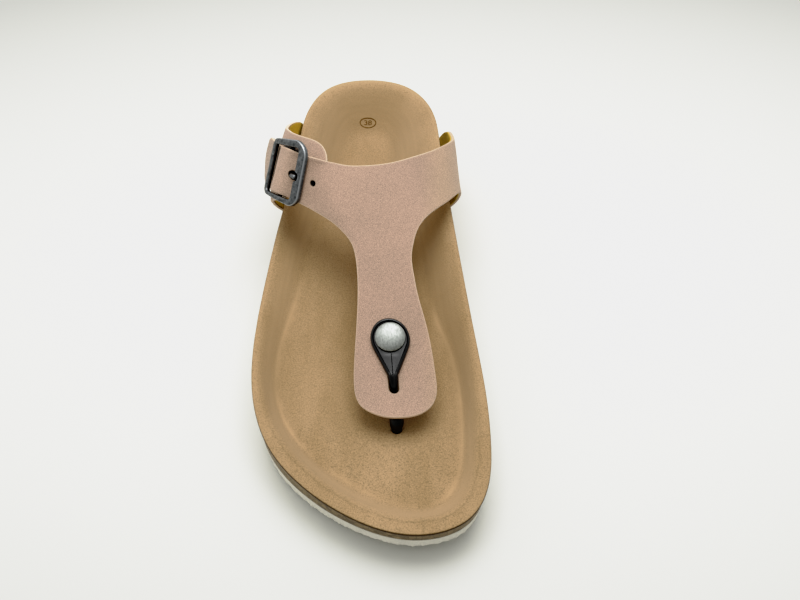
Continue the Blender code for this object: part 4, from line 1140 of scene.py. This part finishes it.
def t_strap_outline(spacing):
    """The cut edge of the T-strap, as degrees round the instep and places along it."""
    return np.vstack([
        even(REAR_EDGE, spacing),
        even((REAR_EDGE[-1], *TAIL_END, LATERAL_EDGE[0]), spacing, False),
        even(LATERAL_EDGE + MEDIAL_EDGE, spacing),
        even((MEDIAL_EDGE[-1], REAR_EDGE[0]), spacing * 1.5, False),
    ])


def anchor_outline(spacing):
    """The cut edge of the anchor strap, as degrees round the instep and places along it."""
    return np.vstack([
        even(ANCHOR_REAR + ANCHOR_TIP + ANCHOR_FRONT, spacing),
        even((ANCHOR_FRONT[-1], ANCHOR_REAR[0]), spacing * 1.5, False),
    ])


def punched():
    """The holes along the lateral arm: centre and radius of each."""
    angle, along = BUCKLE_AT
    return [((angle + turn, along + run), radius) for turn, run, radius in HOLES]


def slot_loop(count):
    """The slot that the post's tongue goes through."""
    start, end, half = SLOT
    turn = np.linspace(0, np.pi, count)
    far = np.stack([half * np.cos(turn), end - half + half * np.sin(turn)], 1)
    near = np.stack([-half * np.cos(turn), start + half - half * np.sin(turn)], 1)
    return np.vstack([far, near]) / (WRAP, 1)


def under_frame(points):
    """How far each point lies in the painted shade under the buckle's frame."""
    middle, to_ridge, to_toe, _ = BUCKLE
    x, y = (points - middle) @ to_ridge, (points - middle) @ to_toe
    return math.prod(smooth((reach - out) / fade) for out, (reach, fade) in zip((x, -x, y, -y), FRAME_SHADE))


def rubbed_pale(points):
    """How much painted light each point of the strap takes inside the buckle's frame, and how much painted
    sheen its tail takes.
    """
    middle, to_ridge, to_toe, _ = BUCKLE
    x, y = (points - middle) @ to_ridge, (points - middle) @ to_toe
    held = smooth((PAINTED_LIGHT_RIDGE - x) / PAINTED_LIGHT_FADE) * smooth((PAINTED_LIGHT_SIDE - np.abs(y)) / PAINTED_LIGHT_FADE)
    tail = smooth((SHEEN_FROM - x) / SHEEN_FADE)
    return held * (1 - tail), held * tail


class SANDAL_OT_straps(bpy.types.Operator):
    """Adds the T-strap and the anchor strap, each as leather with its lining"""

    bl_idname = "sandal.straps"
    bl_label = "Straps"

    def execute(self, context):
        sizes, colours = context.scene.sandal_sizes, context.scene.sandal_colours
        leather, lining = brushed_nubuck(colours), split_lining(colours)
        thin = sizes.lining / MM
        holes = [ring(centre, radius, HOLE_POINTS, WRAP) for centre, radius in punched()]
        holes += [slot_loop(14), ring((0.0, RIVET_AT), RIVET_SHANK + GAP, HOLE_POINTS, WRAP)]
        for name, node, loops in (
            ("t_strap", "t_strap", [t_strap_outline(STRAP_EDGE_STEP), *holes]),
            ("anchor", "anchor_strap", [anchor_outline(STRAP_EDGE_STEP)]),
        ):
            first = loops[0] + into_material(loops[0], WRAP) * STRAP_RING
            core = inside(loops, grid(loops[0], STRAP_STEP, WRAP), STRAP_STEP, WRAP)
            flat, faces = triangulate(loops, [first, core])
            steps, on_hole = rim_steps(flat, loops, WRAP)
            lift = strap_lift(flat[:, 0], flat[:, 1]) if node == "t_strap" else np.zeros(len(flat))
            face = pulled(flat, lift)
            # painted shade on the anchor's leather round the holes and under the buckle's frame, where their
            # shadow falls
            apart = [np.linalg.norm((flat - centre) * (WRAP, 1), axis=1) for centre, _ in punched()]
            round_holes = smooth((HOLE_SHADE[0] - np.min(apart, axis=0)) / HOLE_SHADE[1])
            below = np.maximum(round_holes, under_frame(face))
            # painted light on the T-strap inside the buckle's frame, and a painted sheen on its tail
            pale, painted_sheen = (share * (node == "t_strap") for share in rubbed_pale(face))
            # painted yellower light on the medial arm
            arm = smooth((face[:, 0] - ARM_FROM) / ARM_OVER)
            for piece, edge, start, depth, finish in (
                ("leather", LEATHER_EDGE, 0.0, STRAP - thin - PLY_GAP, leather),
                ("lining", LINING_EDGE, STRAP - thin, thin, lining),
            ):
                layers = [
                    pulled(flat + steps * inset, lift - start - depth * share)
                    for inset, share, _ in edge
                ]
                marks = [mark * (1 - ARM_CUT * arm) for _, _, mark in edge]
                hidden = below * (finish is leather and node == "anchor_strap")
                # painted shade also on the walls of the holes
                soil = [np.maximum(hidden, on_hole * mark) for mark in marks]
                count = len(marks)
                worn = {"rub_and_painted_light": [pale] * count, "painted_sheen": [painted_sheen] * count, "medial_painted_light": [arm] * count}
                mesh = skin(faces, layers, marks, 60.0, hidden_soil=soil, **worn)
                stands_for = ("strap", node) if finish is leather else ()
                add_piece(f"{name}_{piece}", mesh, finish, *stands_for)
        return {"FINISHED"}


def rounded(corners, turns=14, runs=110):
    """A closed outline of straight sides and arcs, from its corners with the radius at each."""
    arcs = []
    spots, radii = corners[:, :2], corners[:, 2]
    for before, here, after, radius in zip(np.roll(spots, 1, 0), spots, np.roll(spots, -1, 0), radii):
        back, on = ((end - here) / np.linalg.norm(end - here) for end in (before, after))
        half = np.arccos(back @ on) / 2
        centre = here + (back + on) / np.linalg.norm(back + on) * radius / np.sin(half)
        start, end = (here + side * radius / np.tan(half) - centre for side in (back, on))
        spokes = start + np.linspace(0, 1, turns)[:, None] * (end - start)
        arcs.append(centre + spokes * radius / np.linalg.norm(spokes, axis=1)[:, None])
    share = np.linspace(0, 1, runs + 2)[1:-1, None]
    loop = []
    for here, after in zip(arcs, arcs[1:] + arcs[:1]):
        loop += [here, here[-1] + (after[0] - here[-1]) * share]
    return np.vstack(loop)


class SANDAL_OT_buckle(bpy.types.Operator):
    """Adds the buckle: an arched cast frame with a rest for the pin, its centre bar, and the pin"""

    bl_idname = "sandal.buckle"
    bl_label = "Buckle"

    def execute(self, context):
        zinc = antiqued_zinc(context.scene.sandal_colours)
        outer, window = rounded(FRAME_OUTER), rounded(FRAME_WINDOW)
        rings, shelter, rim = [], [], []
        for across, up in path(FRAME_SECTION, 40, closed=True):
            flat = outer + (window - outer) * across
            level = FRAME_LOW - FRAME_ARCH * flat[:, 0] ** 2 + FRAME_THICK * up
            from_rest = np.hypot(np.clip(flat[:, 0] - PIN_REST_END + PIN_REST, 0, None), flat[:, 1])
            rest = smooth((PIN_REST + 0.2 - from_rest) / 0.4) * (flat[:, 0] > 0)
            level -= np.clip(level - PIN_REST_LEVEL, 0, None) * rest
            rings.append(in_buckle(np.column_stack([flat, level])))
            # painted shade, near black, on the lower inner walls round the window and in the pin's rest
            shelter.append(np.maximum(rest, smooth((across - 0.9) / 0.08) * smooth((0.62 - up) / 0.2)))
            # painted highlight along the outer rim of the top face
            rim.append(np.full(len(flat), np.clip(1 - np.abs(across - 0.07) / 0.06, 0, 1) * (up > 0.5)))
        mesh = lofted(rings, joined=True, shelter=np.concatenate(shelter), worn_rim=np.concatenate(rim))
        add_piece("buckle_frame_cast", mesh, zinc, "buckle_metal", "buckle_frame")
        (rear, front), level = BAR_ENDS, GAP + BAR_RADIUS
        staple = [(0, rear, FRAME_LOW + 0.9), (0, rear, level + 0.9), (0, rear + 0.7, level), (0, 0, level),
                  (0, front - 0.7, level), (0, front, level + 0.9), (0, front, FRAME_LOW + 0.9)]
        run = path(staple, BAR_STEPS, measured=3)
        radius = np.full(BAR_STEPS, BAR_RADIUS)
        rings = swept(in_buckle(run), radius, radius, BUCKLE[1])
        # the centre bar is painted all in shade
        mesh = lofted(rings, shelter=np.ones(BAR_STEPS * len(rings[0]) + 2))
        add_piece("buckle_centre_bar", mesh, zinc, "buckle_metal")
        run = path(PIN_BENDS, PIN_STEPS)
        run = in_buckle(np.stack([run[:, 0], np.zeros(PIN_STEPS), run[:, 1]], 1))
        radius = np.interp(np.linspace(0, 1, PIN_STEPS), *PIN_RADII.T)
        mesh = lofted(swept(run, radius, radius, BUCKLE[2]))
        add_piece("buckle_pin_bent", mesh, zinc, "buckle_metal", "buckle_pin")
        return {"FINISHED"}


def teardrop(spacing):
    """The outline of the pad on the strap, as distance across and place along."""
    turn = np.radians(np.linspace(-180 - TEARDROP_TANGENT, TEARDROP_TANGENT, 60))
    head = np.stack([TEARDROP_RADIUS * np.cos(turn), TEARDROP_AT + TEARDROP_RADIUS * np.sin(turn)], 1)
    share = np.linspace(0, 1, 9)[1:-1, None]
    flank = head[-1] + (np.array(TAIL[0]) - head[-1]) * share
    right = np.vstack([flank, TAIL])
    rough = np.vstack([head, right, [(0.0, TAIL_TIP)], right[::-1] * (-1, 1)])
    length = np.linalg.norm(np.diff(rough, axis=0), axis=1).sum()
    return path(rough, int(length / spacing), closed=True)


class SANDAL_OT_toe_post(bpy.types.Operator):
    """Adds the moulded teardrop pad with its post, and the rivet that holds it"""

    bl_idname = "sandal.toe_post"
    bl_label = "Toe post and rivet"

    def execute(self, context):
        colours = context.scene.sandal_colours
        nylon = gloss_nylon(colours)
        loops = [teardrop(PAD_EDGE_STEP), ring((0.0, RIVET_AT), RIVET_SHANK + GAP, HOLE_POINTS)]
        into = into_material(loops[0])
        narrow = np.minimum(1.0, np.abs(loops[0][:, :1]) / 2.4 + (loops[0][:, 1:] < RIVET_AT))
        beads = [loops[0] + into * narrow * inset for inset in BEAD_RINGS]
        head, foot = FACETS
        crease = np.stack([np.zeros(CREASE_POINTS), np.linspace(head, foot, CREASE_POINTS)], 1)
        core = inside(loops, grid(loops[0], PAD_STEP), BEAD_RINGS[-1] + PAD_STEP / 2)
        core = core[np.abs(core[:, 0]) > PAD_STEP / 2]
        tail = inside(loops, grid(np.array([(-2.2, foot), (2.2, TAIL_TIP)]), PAD_EDGE_STEP), 0.25)
        creases = [crease + (side, 0) for side in (-CREASE_HALF, 0.0, CREASE_HALF)]
        flat, faces = triangulate(loops, [*beads, core, tail, *creases])
        apart = np.linalg.norm(flat[:, None] - loops[0][None], axis=2).min(axis=1)
        bead = 0.3 + (PAD - 0.2) * np.sqrt(1 - (1 - np.clip(apart / BEAD_RADIUS, 0, 1)) ** 2)
        half = np.interp(flat[:, 1], (head, foot), FACET_HALF)
        slope = 1 - np.clip(np.abs(flat[:, 0]) / half, 0, 1)
        floor = PAD - FACET_SUNK + FACET_RISE * slope * smooth((flat[:, 1] - head) / 1.0)
        groove = CREASE_DEPTH * smooth((CREASE_HALF - np.abs(flat[:, 0])) / CREASE_HALF)
        groove *= smooth((flat[:, 1] - head) / 0.5)
        sunk = smooth((apart - 1.0) / 0.5) * smooth((TAIL_TIP - flat[:, 1]) / (TAIL_TIP - foot))
        drop = TAIL_DROP * smooth((flat[:, 1] - foot) / (TAIL_TIP - foot))
        top = bead + (floor - groove - bead) * sunk - drop
        spots = flat / (WRAP, 1)
        under = GAP * 0.4 - drop * 1.1
        mesh = skin(faces, [pulled(spots, top + GAP), pulled(spots, under)], [0.0, 0.0], 40.0)
        add_piece("toe_post_pad", mesh, nylon, "post_plastic", "toe_post")
        along, lift, wide, thick = np.array(TONGUE).T
        start = np.column_stack([pulled(np.stack([along * 0, along], 1), lift), wide, thick])
        run = path(np.vstack([start, POST_RUN]), POST_STEPS, measured=3)
        rings = swept(run[:, :3], run[:, 3], run[:, 4], np.array([1.0, 0.0, 0.0]), POST_SIDES)
        add_piece("toe_post_stem", lofted(rings), nylon, "post_plastic")
        centre, out = last(0.0, RIVET_AT)[0], last_normal(0.0, RIVET_AT)[0]
        side = np.cross(out, (0.0, 1.0, 0.0))
        side /= np.linalg.norm(side)
        turn = np.linspace(0, 2 * np.pi, RIVET_SIDES, endpoint=False)
        round_about = np.outer(np.cos(turn), side) + np.outer(np.sin(turn), np.cross(out, side))
        rings = [centre + out * up + radius * round_about for radius, up in RIVET_PROFILE]
        add_piece("rivet_capped", lofted(rings, crease=45.0), tumbled_nickel(colours), "rivet_metal", "rivet")
        return {"FINISHED"}


# the square panel over the sandal: its place, where it is aimed, its side in metres and its power in watts
PANEL_AT, PANEL_AIM = Vector((0.03, 0.16, 0.74)), Vector((0.02, 0.0, 0.0))
PANEL_SIDE, PANEL_POWER = 0.56, 4.8
# the camera's lens and sensor in millimetres, its place in metres and its tilt in degrees
LENS, SENSOR = 54.0, 36.0
CAMERA_AT, CAMERA_TILT = (0.013183, -0.37230, 0.42516), 42.0
# half the floor's side in metres
FLOOR_HALF = 4.0
# scene level and shown level: blacks fall off a little, and the pale floor eases into white without clipping
TONES = (
    (0.025, 0.006), (0.07, 0.05), (0.15, 0.145), (0.35, 0.37),
    (0.6, 0.66), (0.8, 0.80), (1.06, 0.87), (1.6, 0.90),
)


class SANDAL_OT_stage(bpy.types.Operator):
    """Adds the pale floor, the soft light and the camera"""

    bl_idname = "sandal.stage"
    bl_label = "Stage"

    def execute(self, context):
        scene = context.scene
        mesh = bpy.data.meshes.new("floor")
        corners = [(x * FLOOR_HALF, y * FLOOR_HALF, 0) for x, y in ((-1, -1), (1, -1), (1, 1), (-1, 1))]
        mesh.from_pydata(corners, [], [(0, 1, 2, 3)])
        mesh.materials.append(seamless_paper(scene.sandal_colours))
        floor = bpy.data.objects.new("floor", mesh)
        scene.collection.objects.link(floor)
        lamp = bpy.data.lights.new("top_panel", "AREA")
        lamp.size, lamp.energy = PANEL_SIDE, PANEL_POWER
        panel = bpy.data.objects.new("top_panel", lamp)
        panel.location = PANEL_AT
        panel.visible_camera = False
        panel.rotation_euler = (PANEL_AIM - PANEL_AT).to_track_quat("-Z", "Y").to_euler()
        scene.collection.objects.link(panel)
        world = bpy.data.worlds.new("studio")
        world.use_nodes = True
        tree = world.node_tree
        toward = put(tree, "TexCoord", out="Generated")
        across, along, _ = put(tree, "SeparateXYZ", toward).node.outputs
        # A tent of soft light: brighter behind the heel than at the toe, and on the buckle's side.
        ends = put(tree, "MapRange", along, -0.9, 0.5, 0.20, 0.78, interpolation_type="SMOOTHSTEP")
        sides = put(tree, "MapRange", across, -0.9, 0.9, 0.46, 0.04)
        tent = put(tree, "Math", ends, sides, operation="ADD")
        fill(tree.nodes["Background"], {"Color": linear("#F4F5F2"), "Strength": tent})
        scene.world = world
        scene.view_settings.view_transform = "Standard"
        scene.view_settings.use_curve_mapping = True
        tones = scene.view_settings.curve_mapping
        tones.use_clip, tones.extend = False, "HORIZONTAL"
        tones.curves[3].points[-1].location = TONES[-1]
        for level, shown in TONES[:-1]:
            tones.curves[3].points.new(level, shown)
        tones.update()
        lens = bpy.data.cameras.new("camera")
        lens.lens, lens.sensor_width = LENS, SENSOR
        camera = bpy.data.objects.new("camera", lens)
        camera.location = CAMERA_AT
        camera.rotation_euler = (math.radians(CAMERA_TILT), 0.0, 0.0)
        scene.collection.objects.link(camera)
        scene.camera = camera
        return {"FINISHED"}


STEPS = (
    SANDAL_OT_outsole, SANDAL_OT_footbed, SANDAL_OT_straps,
    SANDAL_OT_buckle, SANDAL_OT_toe_post, SANDAL_OT_stage,
)


class SANDAL_PT_panel(bpy.types.Panel):
    """Lists the sandal's pieces, sizes and colours"""

    bl_idname = "SANDAL_PT_panel"
    bl_label = "Toe post sandal"
    bl_space_type = "VIEW_3D"
    bl_region_type = "UI"
    bl_category = "Sandal"

    def draw(self, context):
        for step in STEPS:
            self.layout.operator(step.bl_idname)
        for group in (context.scene.sandal_sizes, context.scene.sandal_colours):
            for name in group.__annotations__:
                self.layout.prop(group, name)


CLASSES = (SandalSizes, SandalColours, *STEPS, SANDAL_PT_panel)


def register():
    for kind in CLASSES:
        bpy.utils.register_class(kind)
    bpy.types.Scene.sandal_sizes = bpy.props.PointerProperty(type=SandalSizes)
    bpy.types.Scene.sandal_colours = bpy.props.PointerProperty(type=SandalColours)


def unregister():
    del bpy.types.Scene.sandal_colours
    del bpy.types.Scene.sandal_sizes
    for kind in reversed(CLASSES):
        bpy.utils.unregister_class(kind)


def main():
    register()
    bpy.ops.sandal.outsole()
    bpy.ops.sandal.footbed()
    bpy.ops.sandal.straps()
    bpy.ops.sandal.buckle()
    bpy.ops.sandal.toe_post()
    bpy.ops.sandal.stage()


if __name__ == "__main__":
    main()
